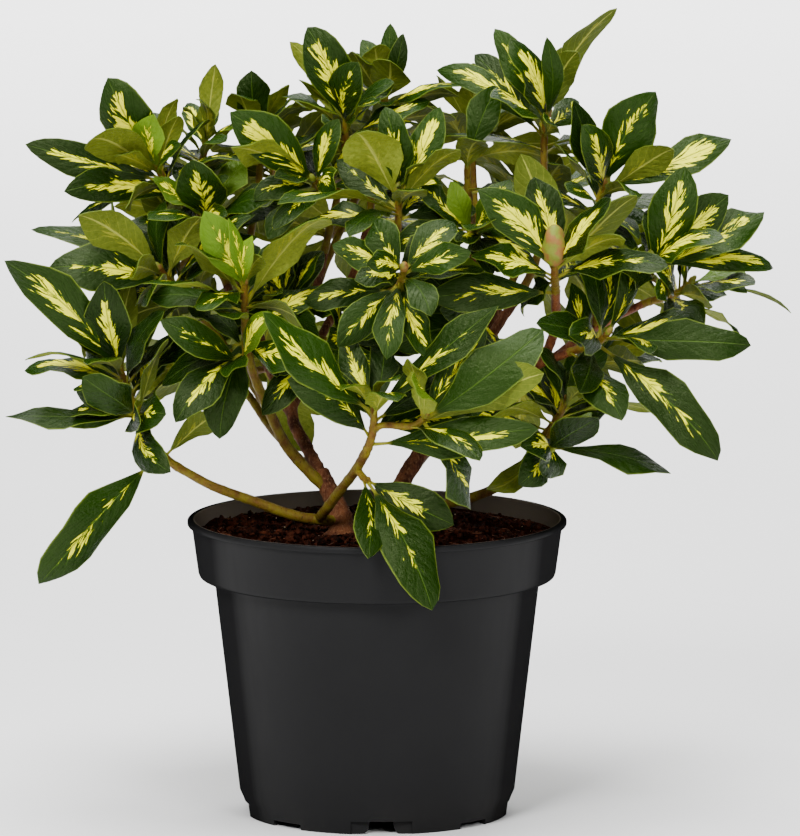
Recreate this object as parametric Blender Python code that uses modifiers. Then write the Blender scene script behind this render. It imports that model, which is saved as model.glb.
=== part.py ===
"""A variegated rhododendron, about half a metre tall, in a black plastic nursery pot.

Sizes in the text are millimetres and become metres where a mesh is made. +X is the
viewer's right, +Y points away from the viewer and +Z is up. The origin is the middle of
the pot's flat underside.
"""
import math
import random
from collections import namedtuple

import bpy
import bmesh
import numpy as np
from mathutils import Matrix, Vector
from mathutils.bvhtree import BVHTree

MM = 0.001

# Touching pieces keep this gap, and facets closer in angle than these become one
GAP = 0.3
FLAT = math.radians(0.6)
LEAF_FLAT = math.radians(3.0)

# Pot, turned, with a rolled lip, a deep collar and a notched foot ring
POT_HEIGHT = 180.0
LIP_RADIUS = 115.0
LIP_HEIGHT = 3.6
COLLAR_TOP_RADIUS = 112.3
COLLAR_LOW_RADIUS = 108.4
COLLAR_LOW = 144.5
BODY_TOP_RADIUS = 98.7
BODY_LOW_RADIUS = 83.6
BODY_LOW = 14.5
FOOT_RADIUS = 79.8
FOOT_HEIGHT = 8.0
FOOT_WALL = 3.2
PAD_RADIUS = 15.0
WALL = 1.8
TURN_STEPS = 20
POT_TURN = math.radians(2.0)
WIDE_NOTCH = 37.0
CHEEK_WIDTH = 44.0
CHEEK_DEPTH = 14.8
SMALL_NOTCH = 22.0
SMALL_NOTCH_HEIGHT = 3.5
DRAIN_TOP = 14.0
DRAIN_FOOT = 23.0
DRAIN_DEPTH = 24.0

# Potting mix, heaped a little round the stems, level where they stand
SOIL_EDGE = 169.5
SOIL_HEAP = 6.5
HEAP_MIDDLE = (-6.0, -14.0)
HEAP_SPREAD = 52.0
GROUND = 176.0
STEM_PATCH = 27.0
SOIL_SEED = 11
LUMPS = 7
FLARE_REACH = 4.5

# The golden angle lies between one leaf and the next up the shoot
TURN = math.radians(137.5)
LEAF_SEED = 23
ROSETTE = 20.0
PETIOLE = 0.14
PETIOLE_WIDTH = 1.8
PETIOLE_DEPTH = 1.3
LEAF_DEPTH = 1.1
LEAF_BEND = 24.0

# A leaf keeps this clear of other pieces and this near to its own mass's shoots
LEAF_CLEAR = 0.8
ELBOW_ROOM = 34.0

# Leaves turn their upper faces up their shoot and out of the crown
CROWN_MIDDLE = Vector((8.0, 22.0, 0.0))
FRONT = Vector((0.0, -1.0, 0.0))
FACE_OUT = 0.9
FACE_FRONT = 1.6

# Bends in degrees, and slides down the shoot, that a leaf that stands out tries in turn
HELD_TRIES = [(24, 0), (10, 0), (40, 0), (24, 3), (10, 5), (40, 5), (58, 0), (4, 2), (58, 6)]

TWIG_POINTS = 4
TWIG_START = 2.3
TWIG_END = 2.1
BUD_SHOWS = 8

Limb = namedtuple("Limb", "name host points start end flare bark")
Leaf = namedtuple("Leaf", "base tip up width bend")
Shoot = namedtuple("Shoot", "tip look leaves length bud held")
Mass = namedtuple("Mass", "name host seat shoots")

OLD_BARK = (0.10, 0.055, 0.035)
GREEN_BARK = (0.16, 0.14, 0.04)
RED_BARK = (0.24, 0.08, 0.045)

# Each limb's bends in order, with the radius at its foot and at its tip
LIMBS = [
    Limb("trunk_left", None, [(-20, -25, 176), (-24, -20, 190), (-34.5, -10, 210)],
         7.0, 5.2, 7.0, OLD_BARK),
    Limb("stem_right", None, [(14, 0, 176), (14, 8, 197), (30, 20, 223), (47, 25, 252),
                              (66, 25, 283), (86, 18, 314)],
         6.0, 2.7, 5.5, OLD_BARK),
    Limb("bough_low_left", "trunk_left", [(-22, -26, 182), (-48, -31, 186), (-76, -32, 196),
                                          (-99, -34, 205), (-118, -32, 215)],
         3.3, 2.6, 0.0, GREEN_BARK),
    Limb("bough_front", "bough_low_left", [(-35, -28.5, 184), (-30, -44, 193),
                                           (-21, -59, 207.5), (-13, -76, 220.5),
                                           (-7, -90, 233)],
         3.1, 2.9, 0.0, GREEN_BARK),
    Limb("bough_upper_middle", "trunk_left", [(-34, -11, 208), (-43, 1, 224),
                                              (-51, 11, 240), (-50, 22, 268),
                                              (-40, 30, 302), (-32, 30, 338)],
         4.2, 2.4, 0.0, OLD_BARK),
    Limb("bough_front_left", "trunk_left", [(-30, -15, 200), (-43, -16, 213), (-55, -20, 228),
                                            (-65, -29, 250), (-71, -35, 265)],
         3.7, 2.9, 0.0, GREEN_BARK),
    Limb("bough_upper_left", "bough_upper_middle", [(-50, 10, 238), (-59, 22, 254),
                                                    (-71, 38, 285), (-86, 45, 331)],
         3.2, 2.5, 0.0, OLD_BARK),
    Limb("bough_left", "bough_front_left", [(-65, -29, 250), (-80, -18, 272),
                                            (-95, -8, 290), (-108, -8, 308)],
         2.8, 2.4, 0.0, GREEN_BARK),
    Limb("bough_middle", "bough_upper_middle", [(-50.5, 16, 254), (-34, 8, 280),
                                                (-14, -6, 308), (5, -22, 338)],
         2.9, 2.4, 0.0, GREEN_BARK),
    Limb("bough_low_right", "stem_right", [(15, 1, 184), (42, -8, 190), (64, -12, 197),
                                           (83, -14, 207), (92, -15, 221)],
         3.2, 2.5, 0.0, GREEN_BARK),
    Limb("bough_right", "stem_right", [(38, 23, 237), (68, 2, 260), (92, -14, 274),
                                       (116, -24, 285)],
         3.3, 2.6, 0.0, RED_BARK),
    Limb("bough_right_upright", "bough_right", [(100, -18, 278), (107, -38, 302),
                                                (107, -54, 326)],
         2.9, 2.8, 0.0, RED_BARK),
    Limb("bough_right_outer", "bough_right", [(108, -21, 282), (126, -8, 294), (143, -3, 303),
                                              (160, 4, 310)],
         2.7, 2.4, 0.0, RED_BARK),
    Limb("bough_right_middle", "stem_right", [(60, 25, 273), (60, 12, 300), (58, 2, 325),
                                              (58, -2, 345)],
         2.8, 2.3, 0.0, RED_BARK),
    Limb("bough_back_left", "bough_upper_left", [(-58.5, 21.5, 253), (-69, 52, 270),
                                                 (-82, 82, 288), (-92, 100, 308)],
         2.8, 2.4, 0.0, OLD_BARK),
    Limb("bough_back_middle", "bough_upper_middle", [(-51, 13.5, 246), (-38, 52, 276),
                                                     (-16, 88, 314), (-6, 100, 345)],
         2.9, 2.4, 0.0, OLD_BARK),
    Limb("bough_back_right", "stem_right", [(32, 21, 227), (48, 58, 252), (66, 88, 280),
                                            (80, 100, 305)],
         3.2, 2.5, 0.0, OLD_BARK),
    Limb("bough_back_low_left", "trunk_left", [(-23, -20, 192), (-42, 30, 206),
                                               (-64, 78, 222), (-78, 104, 238)],
         3.0, 2.4, 0.0, GREEN_BARK),
    Limb("bough_back_low_right", "stem_right", [(15, 8, 198), (30, 50, 212), (48, 88, 224),
                                                (66, 110, 240)],
         3.0, 2.4, 0.0, GREEN_BARK),
]

# Each mass of foliage: the limb it grows from and how far along, then its shoots. A shoot
# has its tip, the way it looks, its number of leaves, their length and its bud, and then
# the leaves that stand out of the crown, each with its tip, width and drop below the bud.
MASSES = [
    Mass("foliage_low_left", "bough_low_left", 1.0, [
        Shoot((-155, -28, 276), (-0.4, -0.4, 1), 7, 78, 0, [
            (-223, -50, 344, 28, 8), (-163, -60, 333, 27, 4),
            (-211, -50, 284, 18, 8), (-147, -20, 328, 16, 6),
            (-127, -60, 315, 20, 12), (-94, -45, 251, 22, 62)]),
        Shoot((-146, -42, 250), (-0.8, -0.5, 0.6), 4, 70, 0, [
            (-223, -45, 249, 20, 4), (-125, -58, 298, 14, 4),
            (-176, -65, 276, 27, 3), (-126, -70, 254, 26, 10)]),
        Shoot((-133, -36, 221), (-0.3, -0.8, -0.6), 0, 70, 0, [
            (-203, -64, 150, 31, 2)]),
    ]),
    Mass("foliage_front_left", "bough_front_left", 1.0, [
        Shoot((-79, -58, 331), (0, -0.35, 1), 6, 56, 7, [
            (-103, -75, 377, 24, 4), (-74, -80, 363, 14, 2),
            (-28, -95, 375, 31, 15), (-119, -85, 358, 22, 8),
            (-139, -85, 335, 18, 12), (-107, -90, 320, 24, 5),
            (-93, -92, 317, 21, 24), (-88, -84, 374, 11, 2)]),
        Shoot((-82, -62, 284), (-0.4, -0.6, 0.7), 4, 58, 4, [
            (-129, -85, 313, 22, 3), (-120, -90, 252, 25, 12),
            (-94, -70, 239, 25, 30)]),
    ]),
    Mass("foliage_left", "bough_left", 1.0, [
        Shoot((-130, -25, 335), (-0.5, -0.3, 0.8), 7, 72, 6, [
            (-178, -60, 373, 26, 5), (-197, -40, 338, 31, 10),
            (-209, 10, 355, 16, 4)]),
        Shoot((-112, 22, 312), (-0.5, 0.5, 0.6), 6, 66, 0, []),
    ]),
    Mass("foliage_upper_left", "bough_upper_left", 1.0, [
        Shoot((-133, 8, 394), (-0.4, -0.2, 1), 7, 60, 6, [
            (-162, -5, 449, 32, 3), (-212, 0, 408, 22, 12),
            (-172, -38, 415, 33, 6), (-188, -20, 382, 24, 30),
            (-120, 0, 436, 12, 2), (-134, -14, 428, 20, 4)]),
        Shoot((-104, 45, 404), (0.1, 0.1, 1), 6, 54, 5, [
            (-98, 42, 452, 15, 1), (-106, 20, 432, 20, 3)]),
    ]),
    Mass("foliage_left_middle", "bough_upper_left", 0.72, [
        Shoot((-104, -8, 366), (-0.2, -0.5, 1), 7, 60, 5, [
            (-110, -35, 403, 32, 5), (-137, -50, 369, 26, 9)]),
    ]),
    Mass("foliage_upper_left_back", "bough_upper_left", 0.86, [
        Shoot((-72, 52, 410), (-0.1, 0.2, 1), 7, 60, 6, [
            (-76, 34, 449, 22, 3), (-84, 16, 436, 20, 6)]),
        Shoot((-64, 100, 385), (-0.2, 0.7, 0.8), 7, 62, 6, []),
    ]),
    Mass("foliage_top", "bough_upper_middle", 1.0, [
        Shoot((-19, 16, 421), (0, -0.1, 1), 6, 60, 8, [
            (-42, 10, 478, 29, 3), (-53, 34, 466.5, 16, 14),
            (-11, -10, 459, 24, 4), (-53, -25, 438, 27, 9)]),
        Shoot((-38, -18, 388), (-0.3, -0.6, 0.8), 5, 60, 6, [
            (-88, -38, 432, 29, 6), (-87, -55, 413, 24, 12)]),
    ]),
    Mass("foliage_top_back", "bough_upper_middle", 0.85, [
        Shoot((5, 55, 432), (0.1, 0.1, 1), 7, 56, 7, [
            (8, 58, 475, 13, 1), (16, 48, 470, 12, 2),
            (-15, 32, 461, 20, 4), (54, 25, 441, 22, 9),
            (8, 25, 456, 26, 5), (-2, 40, 463, 22, 3)]),
    ]),
    Mass("foliage_middle", "bough_middle", 1.0, [
        Shoot((13, -42, 383), (0, -0.4, 1), 6, 60, 9, [
            (-12, -75, 424, 34, 5), (-59, -80, 382, 24, 12),
            (38, -35, 435, 22, 2), (50, -60, 412, 20, 6),
            (5, -45, 436, 22, 3)]),
    ]),
    Mass("foliage_middle_front", "bough_middle", 0.7, [
        Shoot((16, -98, 345), (0.05, -0.8, 0.6), 9, 48, 8, [
            (-2, -85, 373, 22, 3), (46, -80, 371, 22, 4),
            (56, -108, 357, 18, 6), (-13, -122, 342, 18, 8),
            (6, -125, 295, 19, 14), (32, -113, 294, 20, 16)]),
    ]),
    Mass("foliage_inner_left", "bough_upper_middle", 0.45, [
        Shoot((-56, -22, 318), (-0.4, -0.6, 0.8), 6, 60, 0, []),
        Shoot((-22, -40, 296), (0.3, -0.8, 0.5), 6, 60, 0, []),
    ]),
    Mass("foliage_right_middle", "bough_right_middle", 1.0, [
        Shoot((55, -2, 400), (0.1, -0.1, 1), 7, 58, 7, [
            (73, 10, 442, 20, 3), (62, -30, 414, 22, 8)]),
        Shoot((58, -52, 362), (0.1, -0.7, 0.7), 6, 52, 6, [
            (60, -100, 370, 23, 8)]),
    ]),
    Mass("foliage_top_right", "stem_right", 1.0, [
        Shoot((102, 16, 422), (0.1, 0, 1), 7, 58, 10, [
            (145, 25, 488, 17, 2), (71, 20, 476, 17, 2),
            (80, 0, 472, 24, 4), (59, 40, 458, 19, 7),
            (111, 10, 466, 18, 1), (68, -20, 439, 29, 10),
            (36, 35, 449, 18, 12), (121, 4, 464, 18, 3),
            (102, -8, 474, 13, 2)]),
    ]),
    Mass("foliage_upper_right", "bough_right_outer", 0.5, [
        Shoot((137, 6, 382), (0.4, -0.2, 1), 6, 60, 8, [
            (168, 0, 440, 33, 3), (214, 10, 410, 24, 2),
            (178, -30, 409, 20, 5),
            (123, -20, 422, 24, 4), (118, -12, 436, 24, 3)]),
    ]),
    Mass("foliage_right_front", "bough_right_upright", 1.0, [
        Shoot((106, -70, 346), (0, -0.25, 1), 6, 56, 15, [
            (94, -62, 396, 26, 3), (86, -48, 408, 28, 6),
            (155, -70, 386, 30, 6), (139, -100, 388, 25, 5),
            (173, -105, 348, 25, 12), (56, -92, 352, 22, 12),
            (60, -85, 391, 26, 8), (148, -92, 362, 20, 6),
            (86, -42, 313, 24, 16)]),
    ]),
    Mass("foliage_right", "bough_right_outer", 1.0, [
        Shoot((189, 12, 322), (0.7, 0, 0.8), 6, 60, 6, [
            (227, -30, 327, 26, 9), (251, 18, 303, 11, 20)]),
        Shoot((164, -16, 341), (0.4, -0.3, 1), 6, 60, 7, [
            (208, -45, 357, 30, 6), (234, 8, 366, 26, 10),
            (212, -5, 378, 26, 5), (185, -25, 398, 29, 12), (240, 20, 330, 17, 5)]),
    ]),
    Mass("foliage_right_low", "bough_right", 1.0, [
        Shoot((138, -46, 299), (0.5, -0.5, 0.7), 5, 82, 6, [
            (224, -60, 294, 25, 4), (204, -72, 226, 28, 12),
            (146, -95, 254, 26, 34), (95, -98, 313, 22, 8)]),
    ]),
    Mass("foliage_low_right", "bough_low_right", 1.0, [
        Shoot((113, -14, 253), (0.2, -0.3, 1), 6, 60, 5, [
            (167, 0, 245, 19, 11), (96, -45, 290, 18, 3)]),
        Shoot((104, -32, 226), (0.8, -0.5, 0.5), 3, 70, 5, [
            (177, -36, 213, 20, 7), (133, -56, 250, 27, 4),
            (99, -48, 214, 27, 18), (66, -36, 203, 22, 26),
            (85, -42, 207, 24, 24)]),
    ]),
    Mass("foliage_front", "bough_front", 1.0, [
        Shoot((-2, -104, 266), (-0.1, -0.3, 1), 6, 66, 6, [
            (-67, -130, 324, 29, 7), (-53, -125, 283, 28, 24),
            (72, -125, 327, 22, 6), (96, -128, 254, 25, 28)]),
        Shoot((28, -118, 259), (0.5, -0.4, 0.8), 4, 74, 6, [
            (99, -140, 289, 24, 7), (99, -112, 311, 32, 5),
            (19, -130, 296, 20, 1), (56, -92, 200, 26, 2),
            (65, -112, 312, 21, 5)]),
    ]),
    Mass("foliage_over_rim", "bough_front", 0.8, [
        Shoot((-5, -88, 217), (0.6, -0.7, 0.1), 0, 60, 0, [
            (33, -130.5, 145.4, 33, 2), (46, -95, 191, 27, 5),
            (3, -125, 173.5, 19, 7)]),
    ]),
    Mass("foliage_inner_right", "stem_right", 0.58, [
        Shoot((62, -20, 306), (0.3, -0.8, 0.6), 6, 66, 0, []),
    ]),
    Mass("foliage_back_low_left", "bough_back_low_left", 1.0, [
        Shoot((-108, 148, 262), (-0.6, 0.6, 0.7), 8, 76, 6, []),
        Shoot((-60, 172, 254), (0.2, 0.9, 0.6), 6, 70, 6, []),
    ]),
    Mass("foliage_back_left", "bough_back_left", 1.0, [
        Shoot((-118, 134, 342), (-0.6, 0.5, 0.8), 8, 72, 6, []),
        Shoot((-150, 66, 318), (-1, 0.2, 0.6), 7, 68, 6, []),
    ]),
    Mass("foliage_back_middle", "bough_back_middle", 1.0, [
        Shoot((-8, 130, 392), (0, 0.4, 1), 8, 64, 8, []),
        Shoot((-34, 165, 334), (-0.3, 0.9, 0.6), 7, 70, 6, []),
    ]),
    Mass("foliage_back_right", "bough_back_right", 1.0, [
        Shoot((92, 124, 362), (0.2, 0.4, 1), 8, 66, 8, []),
        Shoot((132, 122, 318), (0.8, 0.6, 0.6), 7, 70, 6, []),
    ]),
    Mass("foliage_back_low_right", "bough_back_low_right", 1.0, [
        Shoot((92, 160, 264), (0.5, 0.8, 0.6), 8, 74, 6, []),
        Shoot((134, 92, 264), (1, 0.1, 0.5), 6, 70, 6, []),
    ]),
    Mass("foliage_back_top_right", "bough_back_right", 0.75, [
        Shoot((58, 90, 408), (0, 0.4, 1), 8, 62, 8, []),
    ]),
]


def remove_everything():
    for item in list(bpy.data.objects):
        bpy.data.objects.remove(item, do_unlink=True)


def make_collection(name):
    group = bpy.data.collections.new(name)
    bpy.context.scene.collection.children.link(group)
    return group


def make_material(name, colour, roughness, metallic=0.0):
    material = bpy.data.materials.new(name)
    material.use_nodes = True
    shader = material.node_tree.nodes["Principled BSDF"]
    shader.inputs["Base Color"].default_value = (*colour, 1.0)
    shader.inputs["Roughness"].default_value = roughness
    shader.inputs["Metallic"].default_value = metallic
    material.diffuse_color = (*colour, 1.0)
    return material


def add_object(name, mesh, group, material=None):
    item = bpy.data.objects.new(name, mesh)
    group.objects.link(item)
    if material is not None:
        mesh.materials.clear()
        mesh.materials.append(material)
    return item


def mesh_from(name, points, faces):
    """A mesh from points in millimetres."""
    mesh = bpy.data.meshes.new(name)
    mesh.from_pydata([Vector(point) * MM for point in points], [], faces)
    mesh.update()
    return mesh


def evaluated_mesh(item):
    graph = bpy.context.evaluated_depsgraph_get()
    graph.update()
    return bpy.data.meshes.new_from_object(item.evaluated_get(graph))


def hide_cutter(item):
    item.hide_render = True
    item.display_type = "WIRE"


def apply_boolean(item, operation, other=None, others=None, solver="EXACT"):
    """Cut or join an object with another object or with a whole collection."""
    change = item.modifiers.new("Boolean", "BOOLEAN")
    change.operation = operation
    change.solver = solver
    if others is None:
        change.object = other
    else:
        change.operand_type = "COLLECTION"
        change.collection = others
    mesh = evaluated_mesh(item)
    item.modifiers.clear()
    old = item.data
    item.data = mesh
    bpy.data.meshes.remove(old)


def islands(work):
    """The separate closed bodies of a bmesh, as lists of faces."""
    seen = set()
    found = []
    for first in work.faces:
        if first in seen:
            continue
        seen.add(first)
        body = [first]
        for face in body:
            for edge in face.edges:
                for near in edge.link_faces:
                    if near not in seen:
                        seen.add(near)
                        body.append(near)
        found.append(body)
    return found


def keep_one_body(mesh, flat=FLAT):
    """Drop loose scraps and fill sealed hollows, so that one closed body is left."""
    work = bmesh.new()
    work.from_mesh(mesh)
    bmesh.ops.dissolve_limit(work, angle_limit=flat, verts=work.verts[:], edges=work.edges[:])
    bmesh.ops.triangulate(work, faces=work.faces[:])
    bodies = islands(work)
    bodies.sort(key=len)
    for body in bodies[:-1]:
        bmesh.ops.delete(work, geom=body, context="FACES")
    work.to_mesh(mesh)
    work.free()


def smooth_route(points, steps):
    """Points along one smooth curve through the bends of a limb or twig."""
    bends = [Vector(point) for point in points]
    bends = [bends[0] * 2 - bends[1]] + bends + [bends[-1] * 2 - bends[-2]]
    route = []
    for first in range(len(bends) - 3):
        before, here, there, after = bends[first:first + 4]
        for step in range(steps):
            t = step / steps
            route.append(0.5 * (
                2 * here + (there - before) * t
                + (2 * before - 5 * here + 4 * there - after) * t ** 2
                + (3 * here - before - 3 * there + after) * t ** 3
            ))
    route.append(bends[-2])
    return route


def tube_mesh(name, route, radii, resolution):
    """A round limb along a route, as a bevelled curve with filled caps made a mesh."""
    curve = bpy.data.curves.new(name, "CURVE")
    curve.dimensions = "3D"
    curve.bevel_depth = 1.0
    curve.bevel_resolution = resolution
    curve.use_fill_caps = True
    spline = curve.splines.new("POLY")
    spline.points.add(len(route) - 1)
    for point, place, radius in zip(spline.points, route, radii):
        point.co = (*(Vector(place) * MM), 1.0)
        point.radius = radius * MM
    item = bpy.data.objects.new(name, curve)
    bpy.context.scene.collection.objects.link(item)
    mesh = evaluated_mesh(item)
    bpy.data.objects.remove(item, do_unlink=True)
    bpy.data.curves.remove(curve)
    work = bmesh.new()
    work.from_mesh(mesh)
    bmesh.ops.remove_doubles(work, verts=work.verts[:], dist=0.01 * MM)
    bmesh.ops.recalc_face_normals(work, faces=work.faces[:])
    bmesh.ops.triangulate(work, faces=work.faces[:])
    work.to_mesh(mesh)
    work.free()
    return mesh


def limb_route(limb):
    return smooth_route(limb.points, 2)


def limb_radii(limb, route, extra=0.0):
    """The radius shrinks evenly along the limb, and a trunk flares at its foot."""
    radii = []
    for number, place in enumerate(route):
        along = number / (len(route) - 1)
        radius = limb.start + (limb.end - limb.start) * along
        radius += limb.flare * math.exp(-(place - route[0]).length / FLARE_REACH)
        radii.append(radius + extra)
    return radii


def turned(name, profile, group, material):
    """A body of revolution from its profile, by a Screw modifier that is applied."""
    start = Matrix.Rotation(POT_TURN, 3, "Z")
    mesh = mesh_from(name, [start @ Vector((radius, 0, height)) for radius, height in profile], [])
    mesh.edges.add(len(profile) - 1)
    for number, edge in enumerate(mesh.edges):
        edge.vertices = (number, number + 1)
    mesh.update()
    item = add_object(name, mesh, group, material)
    screw = item.modifiers.new("Turn", "SCREW")
    screw.steps = TURN_STEPS
    screw.render_steps = TURN_STEPS
    screw.use_merge_vertices = True
    screw.merge_threshold = 0.00005
    item.data = evaluated_mesh(item)
    item.modifiers.clear()
    bpy.data.meshes.remove(mesh)
    return item


def block(name, size, middle, turn, group):
    """A box cutter of a size in millimetres, turned about the pot's axis."""
    work = bmesh.new()
    bmesh.ops.create_cube(work, size=1.0)
    bmesh.ops.scale(work, vec=Vector(size) * MM, verts=work.verts)
    bmesh.ops.translate(work, vec=Vector(middle) * MM, verts=work.verts)
    bmesh.ops.rotate(work, matrix=Matrix.Rotation(turn, 3, "Z"), verts=work.verts)
    mesh = bpy.data.meshes.new(name)
    work.to_mesh(mesh)
    work.free()
    item = add_object(name, mesh, group)
    hide_cutter(item)
    return item


def drain_cutter(name, turn, group):
    """The arched way between two cheeks, narrow at its top and wide at its foot."""
    half = []
    for number in range(5):
        angle = math.radians(90 * number / 4)
        across = DRAIN_TOP / 2 + (DRAIN_FOOT - DRAIN_TOP) / 2 * (1 - math.cos(angle))
        half.append((across, (FOOT_HEIGHT + 0.2) * (1 - math.sin(angle))))
    outline = half + [(DRAIN_FOOT / 2, -1.0)]
    outline += [(-across, height) for across, height in reversed(outline)]
    work = bmesh.new()
    near = -FOOT_RADIUS - 4
    ring = [work.verts.new(Vector((x, near, z)) * MM) for x, z in outline]
    face = work.faces.new(ring)
    pushed = bmesh.ops.extrude_face_region(work, geom=[face])
    moved = [part for part in pushed["geom"] if isinstance(part, bmesh.types.BMVert)]
    bmesh.ops.translate(work, vec=Vector((0, DRAIN_DEPTH * MM, 0)), verts=moved)
    bmesh.ops.rotate(work, matrix=Matrix.Rotation(turn, 3, "Z"), verts=work.verts)
    bmesh.ops.recalc_face_normals(work, faces=work.faces)
    mesh = bpy.data.meshes.new(name)
    work.to_mesh(mesh)
    work.free()
    item = add_object(name, mesh, group)
    hide_cutter(item)
    return item


def wall_inside(height):
    """The pot's inner radius at a height."""
    if height < COLLAR_LOW:
        share = (height - BODY_LOW) / (COLLAR_LOW - BODY_LOW)
        return BODY_LOW_RADIUS + (BODY_TOP_RADIUS - BODY_LOW_RADIUS) * share - WALL
    share = (height - COLLAR_LOW) / (POT_HEIGHT - COLLAR_LOW)
    return COLLAR_LOW_RADIUS + (COLLAR_TOP_RADIUS - COLLAR_LOW_RADIUS) * share - WALL


def build_pot(group, cutters, material):
    """The pot: lip, collar, tapering body, foot ring with notches, and a middle foot."""
    floor = FOOT_HEIGHT + WALL
    shelf = COLLAR_LOW + WALL
    under_lip = POT_HEIGHT - LIP_HEIGHT
    profile = [
        (0, floor),
        (wall_inside(floor) - 1.2, floor),
        (wall_inside(BODY_LOW), BODY_LOW + 1.5),
        (wall_inside(COLLAR_LOW - 0.1), COLLAR_LOW - 1.0),
        (wall_inside(shelf), shelf),
        (wall_inside(POT_HEIGHT), POT_HEIGHT),
        (LIP_RADIUS - 0.7, POT_HEIGHT),
        (LIP_RADIUS, POT_HEIGHT - 0.8),
        (LIP_RADIUS, under_lip + 0.6),
        (COLLAR_TOP_RADIUS, under_lip),
        (COLLAR_LOW_RADIUS, COLLAR_LOW + 2.4),
        (COLLAR_LOW_RADIUS - 2.2, COLLAR_LOW),
        (BODY_TOP_RADIUS, COLLAR_LOW),
        (BODY_LOW_RADIUS, BODY_LOW),
        (FOOT_RADIUS + 1.2, FOOT_HEIGHT + 0.6),
        (FOOT_RADIUS, 0),
        (FOOT_RADIUS - FOOT_WALL, 0),
        (FOOT_RADIUS - FOOT_WALL + 0.4, FOOT_HEIGHT),
        (PAD_RADIUS + 0.5, FOOT_HEIGHT),
        (PAD_RADIUS, 0),
        (0, 0),
    ]
    pot = turned("pot", profile, group, material)
    cheek_size = (CHEEK_WIDTH, CHEEK_DEPTH, FOOT_HEIGHT + 0.5)
    cheek_middle = (0, CHEEK_DEPTH / 2 - (FOOT_RADIUS - FOOT_WALL), (FOOT_HEIGHT + 0.5) / 2)
    for number in range(4):
        turn = POT_TURN + math.radians(90 * number)
        cheeks = block(f"cheeks_{number}", cheek_size, cheek_middle, turn, cutters)
        apply_boolean(pot, "UNION", cheeks)
    for number in range(4):
        turn = POT_TURN + math.radians(90 * number)
        wide = block(f"wide_notch_{number}", (WIDE_NOTCH, 8, FOOT_HEIGHT + 1),
                     (0, -FOOT_RADIUS - 1, (FOOT_HEIGHT - 1) / 2), turn, cutters)
        apply_boolean(pot, "DIFFERENCE", wide)
        drain = drain_cutter(f"drain_{number}", turn, cutters)
        apply_boolean(pot, "DIFFERENCE", drain)
        small = block(f"small_notch_{number}", (SMALL_NOTCH, 10, SMALL_NOTCH_HEIGHT + 1),
                      (0, -FOOT_RADIUS, (SMALL_NOTCH_HEIGHT - 1) / 2),
                      turn + math.radians(45), cutters)
        apply_boolean(pot, "DIFFERENCE", small)
    keep_one_body(pot.data)
    pot.data.shade_smooth()
    pot.data.set_sharp_from_angle(angle=math.radians(35))
    return pot


def soil_height(x, y, lumps):
    """The mix is heaped round the stems and lumpy, and never above the stems' feet."""
    away = math.hypot(x - HEAP_MIDDLE[0], y - HEAP_MIDDLE[1])
    height = SOIL_EDGE + SOIL_HEAP * math.exp(-(away / HEAP_SPREAD) ** 2 / 2)
    for wave_x, wave_y, start, size in lumps:
        height += size * math.sin(wave_x * x + wave_y * y + start)
    for foot in (LIMBS[0].points[0], LIMBS[1].points[0]):
        if math.hypot(x - foot[0], y - foot[1]) < STEM_PATCH:
            height = GROUND
    return min(height, GROUND - GAP)


def build_soil(group, material):
    """The potting mix, one plug that fills the pot a thin gap clear of its wall."""
    draw = random.Random(SOIL_SEED)
    lumps = [(draw.uniform(-0.16, 0.16), draw.uniform(-0.16, 0.16),
              draw.uniform(0, 2 * math.pi), draw.uniform(0.4, 0.9)) for _ in range(LUMPS)]
    floor = FOOT_HEIGHT + WALL + GAP
    shelf = COLLAR_LOW + WALL + GAP
    clear = GAP + 0.1
    rings = [(radius, SOIL_EDGE) for radius in (0, 20, 42, 66, 90)]
    profile = rings + [
        (wall_inside(SOIL_EDGE) - clear, SOIL_EDGE - 2),
        (wall_inside(shelf) - clear, shelf + 0.2),
        (wall_inside(COLLAR_LOW - 0.1) - clear, COLLAR_LOW - 0.5),
        (wall_inside(BODY_LOW) - clear, BODY_LOW + 1.5),
        (wall_inside(floor) - 1.2 - clear, floor),
        (0, floor),
    ]
    soil = turned("potting_mix", profile, group, material)
    for point in soil.data.vertices:
        x, y, z = point.co / MM
        if z > SOIL_EDGE - 0.5:
            point.co.z = soil_height(x, y, lumps) * MM
    keep_one_body(soil.data)
    return soil


def build_limbs(group, cutters, materials):
    """Every limb, each cut a thin gap clear of the limb that carries it."""
    limbs = {}
    standing = Space()
    for limb in LIMBS:
        route = limb_route(limb)
        sides = 2 if limb.host is None else 1
        mesh = tube_mesh(limb.name, route, limb_radii(limb, route), sides)
        if limb.host is None:
            flatten_foot(mesh)
        item = add_object(limb.name, mesh, group, materials[limb.bark])
        if limb.host is not None:
            cut_clear(item, limb.host, cutters)
        keep_one_body(item.data)
        for other in standing.touched_by(item.data):
            cut_clear(item, other, cutters)
            keep_one_body(item.data)
        standing.add_mesh(item.data, limb.name)
        item.data.shade_smooth()
        limbs[limb.name] = item
    return limbs


def flatten_foot(mesh):
    """A trunk stands on a flat cut at the top of the potting mix."""
    work = bmesh.new()
    work.from_mesh(mesh)
    sliced = bmesh.ops.bisect_plane(
        work, geom=work.verts[:] + work.edges[:] + work.faces[:],
        plane_co=(0, 0, (GROUND + 0.01) * MM), plane_no=(0, 0, 1), clear_inner=True)
    rim = [part for part in sliced["geom_cut"] if isinstance(part, bmesh.types.BMEdge)]
    bmesh.ops.contextual_create(work, geom=rim)
    bmesh.ops.triangulate(work, faces=work.faces[:])
    bmesh.ops.recalc_face_normals(work, faces=work.faces[:])
    work.to_mesh(mesh)
    work.free()


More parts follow.
